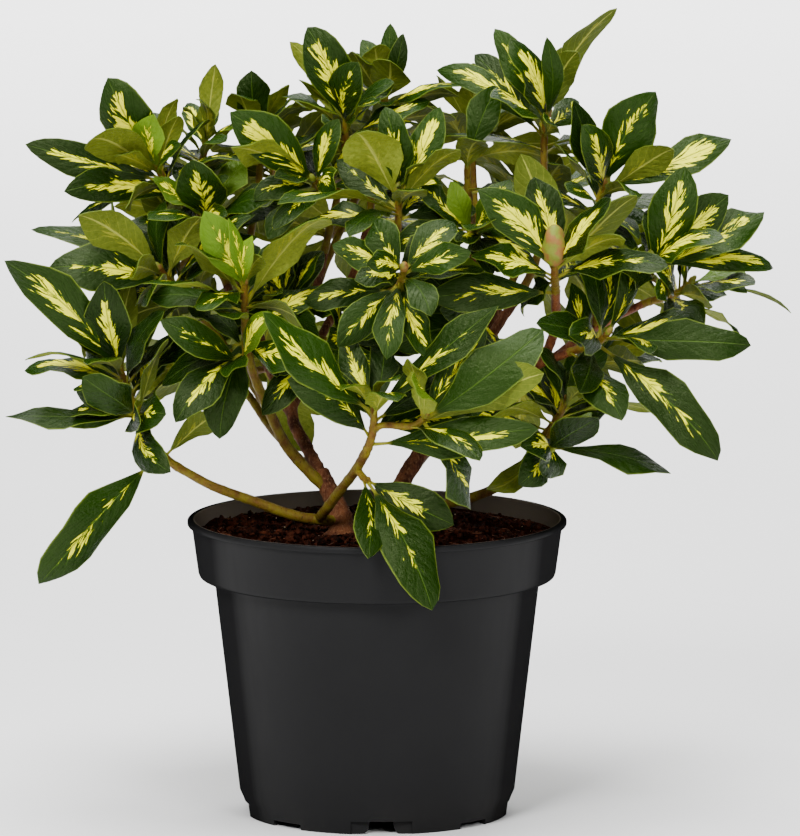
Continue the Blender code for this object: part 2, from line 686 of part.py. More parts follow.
def cut_clear(item, host_name, cutters):
    host = next(limb for limb in LIMBS if limb.name == host_name)
    route = limb_route(host)
    radii = limb_radii(host, route, GAP)
    route[-1] = route[-1] + (route[-1] - route[-2]).normalized() * GAP
    sides = 2 if host.host is None else 1
    mesh = tube_mesh(f"{item.name}_clear", route, radii, sides)
    cutter = add_object(f"{item.name}_clear", mesh, cutters)
    hide_cutter(cutter)
    apply_boolean(item, "DIFFERENCE", cutter)


def limb_place(name, share):
    """A point on a limb's middle line, the way it runs there and its radius."""
    limb = next(limb for limb in LIMBS if limb.name == name)
    route = limb_route(limb)
    lengths = [(route[i + 1] - route[i]).length for i in range(len(route) - 1)]
    left = share * sum(lengths)
    for number, length in enumerate(lengths):
        if left <= length or number == len(lengths) - 1:
            break
        left -= length
    part = min(left / length, 1.0)
    place = route[number].lerp(route[number + 1], part)
    way = (route[number + 1] - route[number]).normalized()
    return place, way, limb.start + (limb.end - limb.start) * share


def twig_route(start, way, tip, look):
    """A twig leaves along its parent and turns to look the way its shoot does."""
    reach = (tip - start).length
    first = start + way * reach * 0.4
    last = tip - look * reach * 0.4
    route = []
    for number in range(TWIG_POINTS):
        t = number / (TWIG_POINTS - 1)
        route.append(start * (1 - t) ** 3 + first * 3 * t * (1 - t) ** 2
                     + last * 3 * t ** 2 * (1 - t) + tip * t ** 3)
    return route


def grow_twigs(mass):
    """The routes of a mass's twigs: the first from the seat, the others from the first."""
    place, way, radius = limb_place(mass.host, mass.seat)
    at_tip = mass.seat == 1.0
    start = place - way if at_tip else place
    twigs = []
    for number, shoot in enumerate(mass.shoots):
        tip = Vector(shoot.tip)
        look = Vector(shoot.look).normalized()
        if number == 0:
            leave = way if at_tip else (tip - start).normalized()
            thick = min(radius, TWIG_START) if not at_tip else radius
            twigs.append((twig_route(start, leave, tip, look), thick))
        else:
            trunk = twigs[0][0]
            joint = trunk[1].lerp(trunk[2], 0.35 + 0.3 * (number % 2))
            leave = (trunk[2] - trunk[1]).normalized().lerp((tip - joint).normalized(), 0.6)
            twigs.append((twig_route(joint, leave, tip, look), TWIG_START * 0.85))
    return twigs


def twig_radii(route, thick):
    count = len(route) - 1
    return [thick + (TWIG_END - thick) * (number / count) for number in range(count + 1)]


def along_twig(route, drop):
    """The point on a twig that lies a drop below its tip."""
    left = drop
    for number in range(len(route) - 1, 0, -1):
        length = (route[number] - route[number - 1]).length
        if left <= length:
            return route[number].lerp(route[number - 1], left / length)
        left -= length
    return route[0]


def upper_side(chord, look, out, share):
    """A leaf's upper face looks up its shoot and, on leaves that point sideways, out."""
    face = look + out * share * (1 - abs(chord.dot(out)))
    side = chord.cross(face)
    if side.length < 0.05:
        side = chord.cross(out)
    return side.cross(chord).normalized()


def outward(place):
    """The level way out of the crown at a place."""
    way = place - CROWN_MIDDLE
    way.z = 0
    return way.normalized()


def leaf_line(leaf, t):
    """A point of the midrib, with the leaf's side and upper direction there."""
    chord = leaf.tip - leaf.base
    ahead = chord.normalized()
    half = math.radians(leaf.bend) / 2
    radius = chord.length / (2 * math.sin(half))
    turn = half - 2 * half * t
    place = leaf.base + ahead * radius * (math.sin(half) - math.sin(turn))
    place = place + leaf.up * radius * (math.cos(turn) - math.cos(half))
    upper = leaf.up * math.cos(turn) - ahead * math.sin(turn)
    return place, ahead.cross(leaf.up), upper


def blade_width(leaf, t):
    """Half the blade's width: widest past the middle, with a pointed tip."""
    u = max((t - PETIOLE) / (1 - PETIOLE), 0.0)
    return leaf.width / 2 * math.sin(math.pi * u ** 1.12) ** 0.8


def leaf_solid(leaf, grow=0.0):
    """A leaf as a thin loft: stalk, two stations across the blade, and a point."""
    stations = [
        (0.0, PETIOLE_WIDTH / 2, PETIOLE_DEPTH),
        (0.42, blade_width(leaf, 0.42) * 1.04, LEAF_DEPTH),
        (0.74, blade_width(leaf, 0.74) * 1.08, LEAF_DEPTH),
    ]
    points = []
    for t, half, depth in stations:
        place, side, upper = leaf_line(leaf, t)
        lift = upper * grow
        points.append(place + side * (half + grow) + lift)
        points.append(place - side * (half + grow) + lift)
        points.append(place - upper * (depth + grow))
    points.append(leaf_line(leaf, 1.0 + grow / 60)[0] - leaf.up * LEAF_DEPTH / 2)
    faces = [(0, 1, 2)]
    for ring in range(len(stations) - 1):
        low = 3 * ring
        for corner in range(3):
            following = (corner + 1) % 3
            faces.append((low + corner, low + 3 + corner, low + following))
            faces.append((low + following, low + 3 + corner, low + 3 + following))
    last = 3 * (len(stations) - 1)
    tip = len(points) - 1
    for corner in range(3):
        faces.append((last + corner, tip, last + (corner + 1) % 3))
    return points, faces


class Space:
    """What already stands in the crown, for testing whether a new leaf is clear."""

    def __init__(self):
        self.lows = []
        self.highs = []
        self.trees = []
        self.owners = []

    def add(self, points, faces, owner):
        cloud = np.array([tuple(point) for point in points])
        self.lows.append(cloud.min(axis=0))
        self.highs.append(cloud.max(axis=0))
        self.trees.append(BVHTree.FromPolygons([tuple(p) for p in points], faces))
        self.owners.append(owner)

    def add_mesh(self, mesh, owner):
        points = [point.co / MM for point in mesh.vertices]
        faces = [tuple(face.vertices) for face in mesh.polygons]
        self.add(points, faces, owner)

    def touched_by(self, mesh):
        """The owners of the pieces that a mesh touches."""
        points = [tuple(point.co / MM) for point in mesh.vertices]
        tree = BVHTree.FromPolygons(points, [tuple(face.vertices) for face in mesh.polygons])
        return [owner for owner, near in zip(self.owners, self.trees) if tree.overlap(near)]

    def hits(self, points, faces, ignore=()):
        cloud = np.array([tuple(point) for point in points])
        low = cloud.min(axis=0)
        high = cloud.max(axis=0)
        near = np.all(np.array(self.lows) <= high, axis=1)
        near &= np.all(np.array(self.highs) >= low, axis=1)
        tree = BVHTree.FromPolygons([tuple(p) for p in points], faces)
        for number in np.nonzero(near)[0]:
            if self.owners[number] in ignore:
                continue
            if tree.overlap(self.trees[number]):
                return True
        return False


def fits(leaf, mass_name, space):
    """A leaf must clear all other pieces, and its blade the twigs and leaves beside it."""
    points, faces = leaf_solid(leaf, LEAF_CLEAR)
    if space.hits(points, faces, ignore=((mass_name, "twig"), (mass_name, "leaf"))):
        return False
    blade_faces = [face for face in faces if min(face) >= 3]
    return not space.hits(points, blade_faces)


def in_own_space(leaf, mass_name):
    """A leaf keeps nearer to its own mass's shoots than to any other's."""
    own = min((leaf.tip - Vector(shoot.tip)).length
              for mass in MASSES if mass.name == mass_name for shoot in mass.shoots)
    other = min((leaf.tip - Vector(shoot.tip)).length
                for mass in MASSES if mass.name != mass_name for shoot in mass.shoots)
    return own < other + ELBOW_ROOM


def held_leaf(row, route, look, bend, slide):
    """A leaf that stands out of the crown, from its tip, width and drop."""
    x, y, z, width, drop = row
    base = along_twig(route, drop + slide)
    tip = Vector((x, y, z))
    upper = upper_side((tip - base).normalized(), look, FRONT, FACE_FRONT)
    return Leaf(base, tip, upper, width, bend)


def ruled_leaf(shoot, route, look, number, draw):
    """One leaf of the spiral: low leaves are long and spread, the top ones short."""
    rank = number / max(shoot.leaves - 1, 1)
    around = number * TURN + draw.uniform(-0.2, 0.2)
    pitch = math.radians(98 - 58 * rank + draw.uniform(-8, 8))
    length = shoot.length * (1.04 - 0.34 * rank) * draw.uniform(0.92, 1.08)
    base = along_twig(route, ROSETTE * (1 - rank) + 1.5)
    across = look.orthogonal().normalized()
    spread = Matrix.Rotation(around, 3, look) @ across
    chord = look * math.cos(pitch) + spread * math.sin(pitch)
    tip = base + chord * length
    width = length * draw.uniform(0.37, 0.43)
    upper = upper_side(chord, look, outward(base), FACE_OUT)
    return Leaf(base, tip, upper, width, LEAF_BEND + draw.uniform(-8, 14))


def turned_leaf(leaf, look, turn, shrink):
    """The same leaf swung round its shoot, to find room beside its neighbours."""
    chord = Matrix.Rotation(turn, 3, look) @ (leaf.tip - leaf.base) * shrink
    upper = upper_side(chord.normalized(), look, outward(leaf.base), FACE_OUT)
    return leaf._replace(tip=leaf.base + chord, width=leaf.width * shrink, up=upper)


def place_leaves(twigs, space):
    """Every mass's leaves: first those that stand out, then the spiral's."""
    leaves = {mass.name: [] for mass in MASSES}

    def settle(mass, leaf):
        leaves[mass.name].append(leaf)
        space.add(*leaf_solid(leaf), (mass.name, "leaf"))

    for mass in MASSES:
        for shoot, (route, _) in zip(mass.shoots, twigs[mass.name]):
            look = Vector(shoot.look).normalized()
            for row in shoot.held:
                for bend, slide in HELD_TRIES:
                    leaf = held_leaf(row, route, look, bend, slide)
                    if fits(leaf, mass.name, space):
                        settle(mass, leaf)
                        break
    draw = random.Random(LEAF_SEED)
    swings = [0, 12, -12, 24, -24, 36, -36]
    for mass in MASSES:
        for shoot, (route, _) in zip(mass.shoots, twigs[mass.name]):
            look = Vector(shoot.look).normalized()
            for number in range(shoot.leaves):
                first = ruled_leaf(shoot, route, look, number, draw)
                for swing in swings:
                    leaf = turned_leaf(first, look, math.radians(swing), 1 - abs(swing) / 240)
                    if in_own_space(leaf, mass.name) and fits(leaf, mass.name, space):
                        settle(mass, leaf)
                        break
    return leaves


def bud_mesh(name, tip, look, size):
    """A fat pointed bud at the end of a shoot, its foot sunk in the twig."""
    work = bmesh.new()
    bmesh.ops.create_uvsphere(work, u_segments=6, v_segments=4, radius=size / 2 * MM)
    bmesh.ops.scale(work, vec=(0.62, 0.62, 1.0), verts=work.verts)
    point = max(work.verts, key=lambda corner: corner.co.z)
    point.co.z += size * 0.12 * MM
    turn = Vector((0, 0, 1)).rotation_difference(look).to_matrix()
    bmesh.ops.rotate(work, matrix=turn, verts=work.verts)
    bmesh.ops.translate(work, vec=(tip + look * 0.38 * size) * MM, verts=work.verts)
    bmesh.ops.triangulate(work, faces=work.faces[:])
    bmesh.ops.recalc_face_normals(work, faces=work.faces[:])
    mesh = bpy.data.meshes.new(name)
    work.to_mesh(mesh)
    work.free()
    return mesh


def build_mass(mass, twigs, leaves, group, cutters, material):
    """One mass of foliage: its twigs, buds and leaves joined by one Boolean union."""
    scraps = make_collection(f"{mass.name}_pieces")
    meshes = []
    for number, (route, thick) in enumerate(twigs):
        meshes.append(tube_mesh(f"{mass.name}_twig_{number}", route,
                                twig_radii(route, thick), 0))
    for number, shoot in enumerate(mass.shoots):
        if shoot.bud >= BUD_SHOWS:
            meshes.append(bud_mesh(f"{mass.name}_bud_{number}", Vector(shoot.tip),
                                   Vector(shoot.look).normalized(), shoot.bud))
    for number, leaf in enumerate(leaves):
        meshes.append(mesh_from(f"{mass.name}_leaf_{number}", *leaf_solid(leaf)))
    item = add_object(mass.name, meshes[0], group, material)
    pieces = [add_object(mesh.name, mesh, scraps) for mesh in meshes[1:]]
    if pieces:
        apply_boolean(item, "UNION", others=scraps)
    for piece in pieces:
        old = piece.data
        bpy.data.objects.remove(piece, do_unlink=True)
        bpy.data.meshes.remove(old)
    bpy.data.collections.remove(scraps)
    cut_clear(item, mass.host, cutters)
    keep_one_body(item.data, LEAF_FLAT)
    item.data.materials.clear()
    item.data.materials.append(material)


def main():
    remove_everything()
    group = make_collection("potted_rhododendron")
    cutters = make_collection("cutters")
    plastic = make_material("black_plastic", (0.012, 0.012, 0.013), 0.42)
    mix = make_material("potting_mix", (0.045, 0.018, 0.010), 0.95)
    green = make_material("leaf_green", (0.035, 0.10, 0.02), 0.35)
    barks = {OLD_BARK: make_material("old_bark", OLD_BARK, 0.85),
             GREEN_BARK: make_material("green_bark", GREEN_BARK, 0.6),
             RED_BARK: make_material("red_bark", RED_BARK, 0.55)}
    pot = build_pot(group, cutters, plastic)
    soil = build_soil(group, mix)
    limbs = build_limbs(group, cutters, barks)
    space = Space()
    space.add_mesh(pot.data, ("pot", "limb"))
    space.add_mesh(soil.data, ("potting_mix", "limb"))
    for name, item in limbs.items():
        space.add_mesh(item.data, (name, "limb"))
    twigs = {mass.name: grow_twigs(mass) for mass in MASSES}
    for mass in MASSES:
        for route, thick in twigs[mass.name]:
            mesh = tube_mesh("twig", route, twig_radii(route, thick), 0)
            space.add_mesh(mesh, (mass.name, "twig"))
            bpy.data.meshes.remove(mesh)
        for shoot in mass.shoots:
            if shoot.bud >= BUD_SHOWS:
                mesh = bud_mesh("bud", Vector(shoot.tip), Vector(shoot.look).normalized(),
                                shoot.bud)
                space.add_mesh(mesh, (mass.name, "twig"))
                bpy.data.meshes.remove(mesh)
    leaves = place_leaves(twigs, space)
    for mass in MASSES:
        build_mass(mass, twigs[mass.name], leaves[mass.name], group, cutters, green)


main()
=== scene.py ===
"""A variegated rhododendron in a black nursery pot: its looks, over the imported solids.

Sizes in the text are millimetres unless they say otherwise, and become metres where a mesh
is made. +X is the viewer's right, +Y points away from the viewer and +Z is up.
"""
import math
import random
from collections import namedtuple

import bpy
import bmesh
import numpy as np
from mathutils import Matrix, Vector, noise
from mathutils.bvhtree import BVHTree


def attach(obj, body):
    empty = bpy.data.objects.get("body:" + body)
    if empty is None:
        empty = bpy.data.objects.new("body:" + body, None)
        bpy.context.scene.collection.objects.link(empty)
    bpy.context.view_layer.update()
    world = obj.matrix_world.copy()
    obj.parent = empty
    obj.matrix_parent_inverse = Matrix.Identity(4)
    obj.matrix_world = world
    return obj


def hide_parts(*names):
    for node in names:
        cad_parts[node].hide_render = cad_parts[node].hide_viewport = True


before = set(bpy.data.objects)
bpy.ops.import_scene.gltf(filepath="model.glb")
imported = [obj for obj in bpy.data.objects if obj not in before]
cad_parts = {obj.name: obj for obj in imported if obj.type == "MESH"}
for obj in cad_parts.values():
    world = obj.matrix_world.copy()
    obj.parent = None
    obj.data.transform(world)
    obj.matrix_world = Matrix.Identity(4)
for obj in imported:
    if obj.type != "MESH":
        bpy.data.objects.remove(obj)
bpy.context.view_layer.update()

# The camera looks at the plant from the front and a little above, from far off, so that the
# pot's lip shows as a narrow ellipse. Soft boxes stand left, right, above and behind.
CAMERA_TILT = math.radians(8.5)
CAMERA_AWAY = 6.0
FRAME_WIDTH = 0.484
AIM = Vector((0.0139, 0.0, 0.2413))

lens = bpy.data.cameras.new("camera")
lens.sensor_fit = "HORIZONTAL"
lens.sensor_width = 36
lens.lens = lens.sensor_width * CAMERA_AWAY / FRAME_WIDTH
camera = bpy.data.objects.new("camera", lens)
camera.location = AIM + CAMERA_AWAY * Vector((0, -math.cos(CAMERA_TILT), math.sin(CAMERA_TILT)))
camera.rotation_euler = (math.pi / 2 - CAMERA_TILT, 0, 0)
bpy.context.scene.collection.objects.link(camera)
bpy.context.scene.camera = camera

SOFT_BOXES = [
    ("front_left", (-1.2, -2.5, 2.3), 1.1, 138),
    ("front_right", (1.3, -2.6, 1.5), 1.0, 50),
    ("overhead", (-0.1, -0.1, 2.4), 1.5, 110),
    ("behind", (0.5, 2.1, 2.1), 1.5, 35),
]
for name, place, size, power in SOFT_BOXES:
    light = bpy.data.lights.new(name, "AREA")
    light.size = size
    light.energy = power
    box = bpy.data.objects.new(name, light)
    box.location = place
    box.rotation_euler = (AIM - Vector(place)).to_track_quat("-Z", "Y").to_euler()
    bpy.context.scene.collection.objects.link(box)

# A wash from high up keeps the floor pale far behind the plant
wash = bpy.data.lights.new("floor_wash", "AREA")
wash.size = 5.0
wash.energy = 440
wash.spread = math.radians(110)
box = bpy.data.objects.new("floor_wash", wash)
box.location = (0.0, 5.2, 3.4)
bpy.context.scene.collection.objects.link(box)

world = bpy.data.worlds.new("studio")
world.use_nodes = True
world.node_tree.nodes["Background"].inputs["Color"].default_value = (1.0, 0.99, 0.96, 1.0)
world.node_tree.nodes["Background"].inputs["Strength"].default_value = 0.03
bpy.context.scene.world = world


# The floor is a plain pale studio sweep, level with the pot's foot and far wider than the
# picture. It belongs to the studio alone.
FLOOR_REACH = 10.0


def new_material(name):
    """A material with nothing but its Principled shader, and that shader."""
    material = bpy.data.materials.new(name)
    material.use_nodes = True
    return material, material.node_tree, material.node_tree.nodes["Principled BSDF"]


def node(tree, kind, inputs=(), **settings):
    """One shader node: settings on the node, then (socket, value or other socket) pairs."""
    made = tree.nodes.new(f"ShaderNode{kind}")
    for key, value in settings.items():
        setattr(made, key, value)
    for key, value in inputs:
        if isinstance(value, bpy.types.NodeSocket):
            tree.links.new(value, made.inputs[key])
        elif made.inputs[key].type == "RGBA":
            made.inputs[key].default_value = (*value, 1.0)
        else:
            made.inputs[key].default_value = value
    return made


def maths(tree, operation, first, second=0.0, third=0.0):
    return node(tree, "Math", [(0, first), (1, second), (2, third)],
                operation=operation).outputs[0]


def plus(tree, first, second):
    return maths(tree, "ADD", first, second)


def minus(tree, first, second):
    return maths(tree, "SUBTRACT", first, second)


def times(tree, first, second):
    return maths(tree, "MULTIPLY", first, second)


def blend_colours(tree, share, first, second):
    """The first colour where the share is none and the second where it is full."""
    made = node(tree, "Mix", [(0, share), (6, first), (7, second)], data_type="RGBA")
    return made.outputs[2]


def ramp(tree, value, low, high, to_low=0.0, to_high=1.0):
    """A value's way from low to high, smoothed, as a mask."""
    made = node(tree, "MapRange", [("Value", value), ("From Min", low), ("From Max", high),
                                   ("To Min", to_low), ("To Max", to_high)],
                interpolation_type="SMOOTHSTEP")
    return made.outputs[0]


def grain(tree, where, scale, detail=3.0, roughness=0.55):
    """Noise at a place on the surface, in marks per metre."""
    made = node(tree, "TexNoise", [("Vector", where), ("Scale", scale), ("Detail", detail),
                                   ("Roughness", roughness)])
    return made.outputs["Fac"]


def bumped(tree, shader, height, strength, depth):
    made = node(tree, "Bump", [("Height", height), ("Strength", strength),
                               ("Distance", depth)])
    tree.links.new(made.outputs[0], shader.inputs["Normal"])


def object_place(tree):
    return node(tree, "TexCoord").outputs["Object"]


MM = 0.001


def make_piece(name, work, material, slot=None):
    """A finished piece from a bmesh. One with a slot rides on the pot plant's one body."""
    mesh = bpy.data.meshes.new(name)
    work.to_mesh(mesh)
    work.free()
    item = bpy.data.objects.new(name, mesh)
    bpy.context.scene.collection.objects.link(item)
    mesh.materials.clear()
    mesh.materials.append(material)
    if slot is not None:
        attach(item, "root")
    return item


floor_paint, tree, shader = new_material("studio_floor")
mottle = grain(tree, object_place(tree), 3.0)
tree.links.new(blend_colours(tree, mottle, (0.86, 0.86, 0.86), (0.90, 0.90, 0.90)),
               shader.inputs["Base Color"])
shader.inputs["Roughness"].default_value = 0.8
work = bmesh.new()
bmesh.ops.create_grid(work, x_segments=1, y_segments=1, size=FLOOR_REACH)
floor = make_piece("studio_floor", work, floor_paint)


# The pot is one injection moulding in black plastic: a thin rolled lip on a deep collar, a
# tapering body, and a foot ring cut by wide drain notches with cheeks and by small ones.
POT_HEIGHT = 180.0
LIP_RADIUS = 115.0
LIP_HEIGHT = 3.6
COLLAR_TOP_RADIUS = 112.3
COLLAR_LOW_RADIUS = 108.4
COLLAR_LOW = 144.5
BODY_TOP_RADIUS = 98.7
BODY_LOW_RADIUS = 83.6
BODY_LOW = 14.5
FOOT_RADIUS = 79.8
FOOT_HEIGHT = 8.0
FOOT_WALL = 3.2
PAD_RADIUS = 15.0
WALL = 1.8
TURN_STEPS = 128
WIDE_NOTCH = 37.0
CHEEK_WIDTH = 44.0
CHEEK_DEPTH = 14.8
SMALL_NOTCH = 22.0
SMALL_NOTCH_HEIGHT = 3.5
DRAIN_TOP = 14.0
DRAIN_FOOT = 23.0
DRAIN_DEPTH = 24.0
POT_TURN = math.radians(2.0)


def wall_inside(height):
    """The pot's inner radius at a height."""
    if height < COLLAR_LOW:
        share = (height - BODY_LOW) / (COLLAR_LOW - BODY_LOW)
        return BODY_LOW_RADIUS + (BODY_TOP_RADIUS - BODY_LOW_RADIUS) * share - WALL
    share = (height - COLLAR_LOW) / (POT_HEIGHT - COLLAR_LOW)
    return COLLAR_LOW_RADIUS + (COLLAR_TOP_RADIUS - COLLAR_LOW_RADIUS) * share - WALL


def spun(profile, steps):
    """A bmesh turned about the pot's axis from its profile of (radius, height)."""
    work = bmesh.new()
    corners = [work.verts.new(Vector((radius, 0, height)) * MM) for radius, height in profile]
    edges = [work.edges.new(pair) for pair in zip(corners, corners[1:])]
    bmesh.ops.spin(work, geom=corners + edges, cent=(0, 0, 0), axis=(0, 0, 1),
                   angle=2 * math.pi, steps=steps, use_merge=True)
    bmesh.ops.remove_doubles(work, verts=work.verts[:], dist=0.00002)
    bmesh.ops.recalc_face_normals(work, faces=work.faces[:])
    return work


def soften(work, sharpest, width, segments):
    """Round every edge that turns by more than an angle."""
    edges = [edge for edge in work.edges
             if len(edge.link_faces) == 2 and edge.calc_face_angle() > sharpest]
    bmesh.ops.bevel(work, geom=edges, offset=width * MM, offset_type="OFFSET", affect="EDGES",
                    segments=segments, profile=0.5, material=-1, clamp_overlap=True)


def smooth_faces(mesh, angle):
    mesh.shade_smooth()
    mesh.set_sharp_from_angle(angle=math.radians(angle))


def apply_modifiers(item):
    graph = bpy.context.evaluated_depsgraph_get()
    graph.update()
    mesh = bpy.data.meshes.new_from_object(item.evaluated_get(graph))
    item.modifiers.clear()
    item.data = mesh


def cut(item, operation, work):
    """Cut a bmesh out of a piece, or join it on, and remove it."""
    mesh = bpy.data.meshes.new("cutter")
    work.to_mesh(mesh)
    work.free()
    other = bpy.data.objects.new("cutter", mesh)
    bpy.context.scene.collection.objects.link(other)
    change = item.modifiers.new("Cut", "BOOLEAN")
    change.operation = operation
    change.solver = "EXACT"
    change.object = other
    apply_modifiers(item)
    bpy.data.objects.remove(other, do_unlink=True)


def box_at(size, middle, turn):
    work = bmesh.new()
    bmesh.ops.create_cube(work, size=1.0)
    bmesh.ops.scale(work, vec=Vector(size) * MM, verts=work.verts)
    bmesh.ops.translate(work, vec=Vector(middle) * MM, verts=work.verts)
    bmesh.ops.rotate(work, matrix=Matrix.Rotation(turn, 3, "Z"), verts=work.verts)
    return work


def drain_way(turn):
    """The arched way between two cheeks, narrow at its top and wide at its foot."""
    half = []
    for number in range(9):
        angle = math.radians(90 * number / 8)
        across = DRAIN_TOP / 2 + (DRAIN_FOOT - DRAIN_TOP) / 2 * (1 - math.cos(angle))
        half.append((across, (FOOT_HEIGHT + 0.2) * (1 - math.sin(angle))))
    outline = half + [(DRAIN_FOOT / 2, -1.0)]
    outline += [(-across, height) for across, height in reversed(outline)]
    work = bmesh.new()
    ring = [work.verts.new(Vector((x, -FOOT_RADIUS - 4, z)) * MM) for x, z in outline]
    pushed = bmesh.ops.extrude_face_region(work, geom=[work.faces.new(ring)])
    moved = [part for part in pushed["geom"] if isinstance(part, bmesh.types.BMVert)]
    bmesh.ops.translate(work, vec=Vector((0, DRAIN_DEPTH * MM, 0)), verts=moved)
    bmesh.ops.rotate(work, matrix=Matrix.Rotation(turn, 3, "Z"), verts=work.verts)
    bmesh.ops.recalc_face_normals(work, faces=work.faces[:])
    return work


floor_height = FOOT_HEIGHT + WALL
shelf = COLLAR_LOW + WALL
under_lip = POT_HEIGHT - LIP_HEIGHT
profile = [
    (0, floor_height),
    (wall_inside(floor_height) - 1.2, floor_height),
    (wall_inside(BODY_LOW), BODY_LOW + 1.5),
    (wall_inside(COLLAR_LOW - 0.1), COLLAR_LOW - 1.0),
    (wall_inside(shelf), shelf),
    (wall_inside(POT_HEIGHT), POT_HEIGHT),
    (LIP_RADIUS - 0.9, POT_HEIGHT),
    (LIP_RADIUS, POT_HEIGHT - 1.0),
    (LIP_RADIUS, under_lip + 0.6),
    (LIP_RADIUS - 0.5, under_lip),
    (COLLAR_TOP_RADIUS, under_lip),
    (COLLAR_LOW_RADIUS, COLLAR_LOW + 3.0),
    (COLLAR_LOW_RADIUS - 0.8, COLLAR_LOW + 1.0),
    (COLLAR_LOW_RADIUS - 2.8, COLLAR_LOW),
    (BODY_TOP_RADIUS, COLLAR_LOW),
    (BODY_LOW_RADIUS, BODY_LOW),
    (FOOT_RADIUS + 1.2, FOOT_HEIGHT + 0.6),
    (FOOT_RADIUS, 0),
    (FOOT_RADIUS - FOOT_WALL, 0),
    (FOOT_RADIUS - FOOT_WALL + 0.4, FOOT_HEIGHT),
    (PAD_RADIUS + 0.5, FOOT_HEIGHT),
    (PAD_RADIUS, 0),
    (0, 0),
]
work = spun(profile, TURN_STEPS)
soften(work, math.radians(24), 0.45, 2)

plastic, tree, shader = new_material("black_plastic")
place = object_place(tree)
cloud = grain(tree, place, 14.0, 4.0)
streaks = node(tree, "Mapping", [("Vector", place), ("Scale", (1.0, 1.0, 0.08))])
streak = grain(tree, streaks.outputs[0], 160.0, 3.0)
scuff = ramp(tree, grain(tree, place, 420.0, 6.0, 0.7), 0.62, 0.78)
parts = node(tree, "SeparateXYZ", [(0, place)])
height = parts.outputs[2]
dust = times(tree, ramp(tree, height, 0.03, 0.0), ramp(tree, cloud, 0.4, 0.7))
# Painted reflection: the inside wall above the mix is given a lighter grey-brown, standing in
# for the sheen the wall reflects
level = node(tree, "CombineXYZ", [(0, parts.outputs[0]), (1, parts.outputs[1])])
off_axis = node(tree, "VectorMath", [(0, level.outputs[0])], operation="LENGTH").outputs["Value"]
within = minus(tree, off_axis, times(tree, height, 0.11))
painted_wall_sheen = times(tree, ramp(tree, within, 0.0918, 0.0912), ramp(tree, height, 0.15, 0.17))
black = blend_colours(tree, cloud, (0.0094, 0.0094, 0.0097), (0.0127, 0.0127, 0.0131))
black = blend_colours(tree, times(tree, scuff, 0.12), black, (0.03, 0.03, 0.031))
black = blend_colours(tree, times(tree, dust, 0.2), black, (0.03, 0.026, 0.022))
# The lighter grey-brown on the inside wall is a painted reflection, not a film of soil
black = blend_colours(tree, times(tree, painted_wall_sheen, 0.8), black, (0.155, 0.125, 0.105))
tree.links.new(black, shader.inputs["Base Color"])
shine = plus(tree, ramp(tree, streak, 0.25, 0.75, 0.34, 0.46), times(tree, scuff, 0.12))
tree.links.new(shine, shader.inputs["Roughness"])
turned_away = node(tree, "LayerWeight", [("Blend", 0.5)]).outputs["Facing"]
shader.inputs["Specular IOR Level"].default_value = 0.1
tree.links.new(ramp(tree, turned_away, 0.25, 0.65, 0.10, 0.0),
               shader.inputs["Specular IOR Level"])
shader.inputs["Specular Tint"].default_value = (0.3, 0.3, 0.3, 1.0)
relief = plus(tree, times(tree, grain(tree, place, 1500.0, 2.0), 0.35),
              times(tree, streak, 0.5))
bumped(tree, shader, relief, 0.12, 0.0004)

pot = make_piece("nursery_pot", work, plastic, "black_plastic")
cheek_size = (CHEEK_WIDTH, CHEEK_DEPTH, FOOT_HEIGHT + 0.5)
cheek_middle = (0, CHEEK_DEPTH / 2 - (FOOT_RADIUS - FOOT_WALL), (FOOT_HEIGHT + 0.5) / 2)
for number in range(4):
    cut(pot, "UNION", box_at(cheek_size, cheek_middle,
                             POT_TURN + math.radians(90 * number)))
for number in range(4):
    turn = POT_TURN + math.radians(90 * number)
    cut(pot, "DIFFERENCE", box_at((WIDE_NOTCH, 8, FOOT_HEIGHT + 1),
                                  (0, -FOOT_RADIUS - 1, (FOOT_HEIGHT - 1) / 2), turn))
    cut(pot, "DIFFERENCE", drain_way(turn))
    cut(pot, "DIFFERENCE", box_at((SMALL_NOTCH, 10, SMALL_NOTCH_HEIGHT + 1),
                                  (0, -FOOT_RADIUS, (SMALL_NOTCH_HEIGHT - 1) / 2),
                                  turn + math.radians(45)))
smooth_faces(pot.data, 38)
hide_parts("pot")


# The potting mix is peat with shredded bark, dark and moist, a little below the lip and
# heaped round the stems. Crumbs, orange fibres and a few pale flecks lie on its surface.
SOIL_EDGE = 169.5
SOIL_TOP = 176.0
SOIL_DEPTH = 12.0
SOIL_STEPS = 72
SOIL_RINGS = 26
SOIL_HEAP = 6.5
HEAP_MIDDLE = (-6.0, -14.0)
HEAP_SPREAD = 52.0
SOIL_SEED = 11
LUMPS = 7
CRUMBS = 3600
FIBRES = 180
FLECKS = 70
DENT = 0.14
draw = random.Random(SOIL_SEED)
lumps = [(draw.uniform(-0.16, 0.16), draw.uniform(-0.16, 0.16),
          draw.uniform(0, 2 * math.pi), draw.uniform(0.4, 0.9)) for _ in range(LUMPS)]


def soil_height(x, y):
    """The height of the mix at a place: heaped, lumpy and crumbly."""
    away = math.hypot(x - HEAP_MIDDLE[0], y - HEAP_MIDDLE[1])
    height = SOIL_EDGE + SOIL_HEAP * math.exp(-(away / HEAP_SPREAD) ** 2 / 2)
    for wave_x, wave_y, start, size in lumps:
        height += size * math.sin(wave_x * x + wave_y * y + start)
    return min(height, SOIL_TOP) + 1.1 * noise.noise(Vector((x * 0.16, y * 0.16, 3.0)))


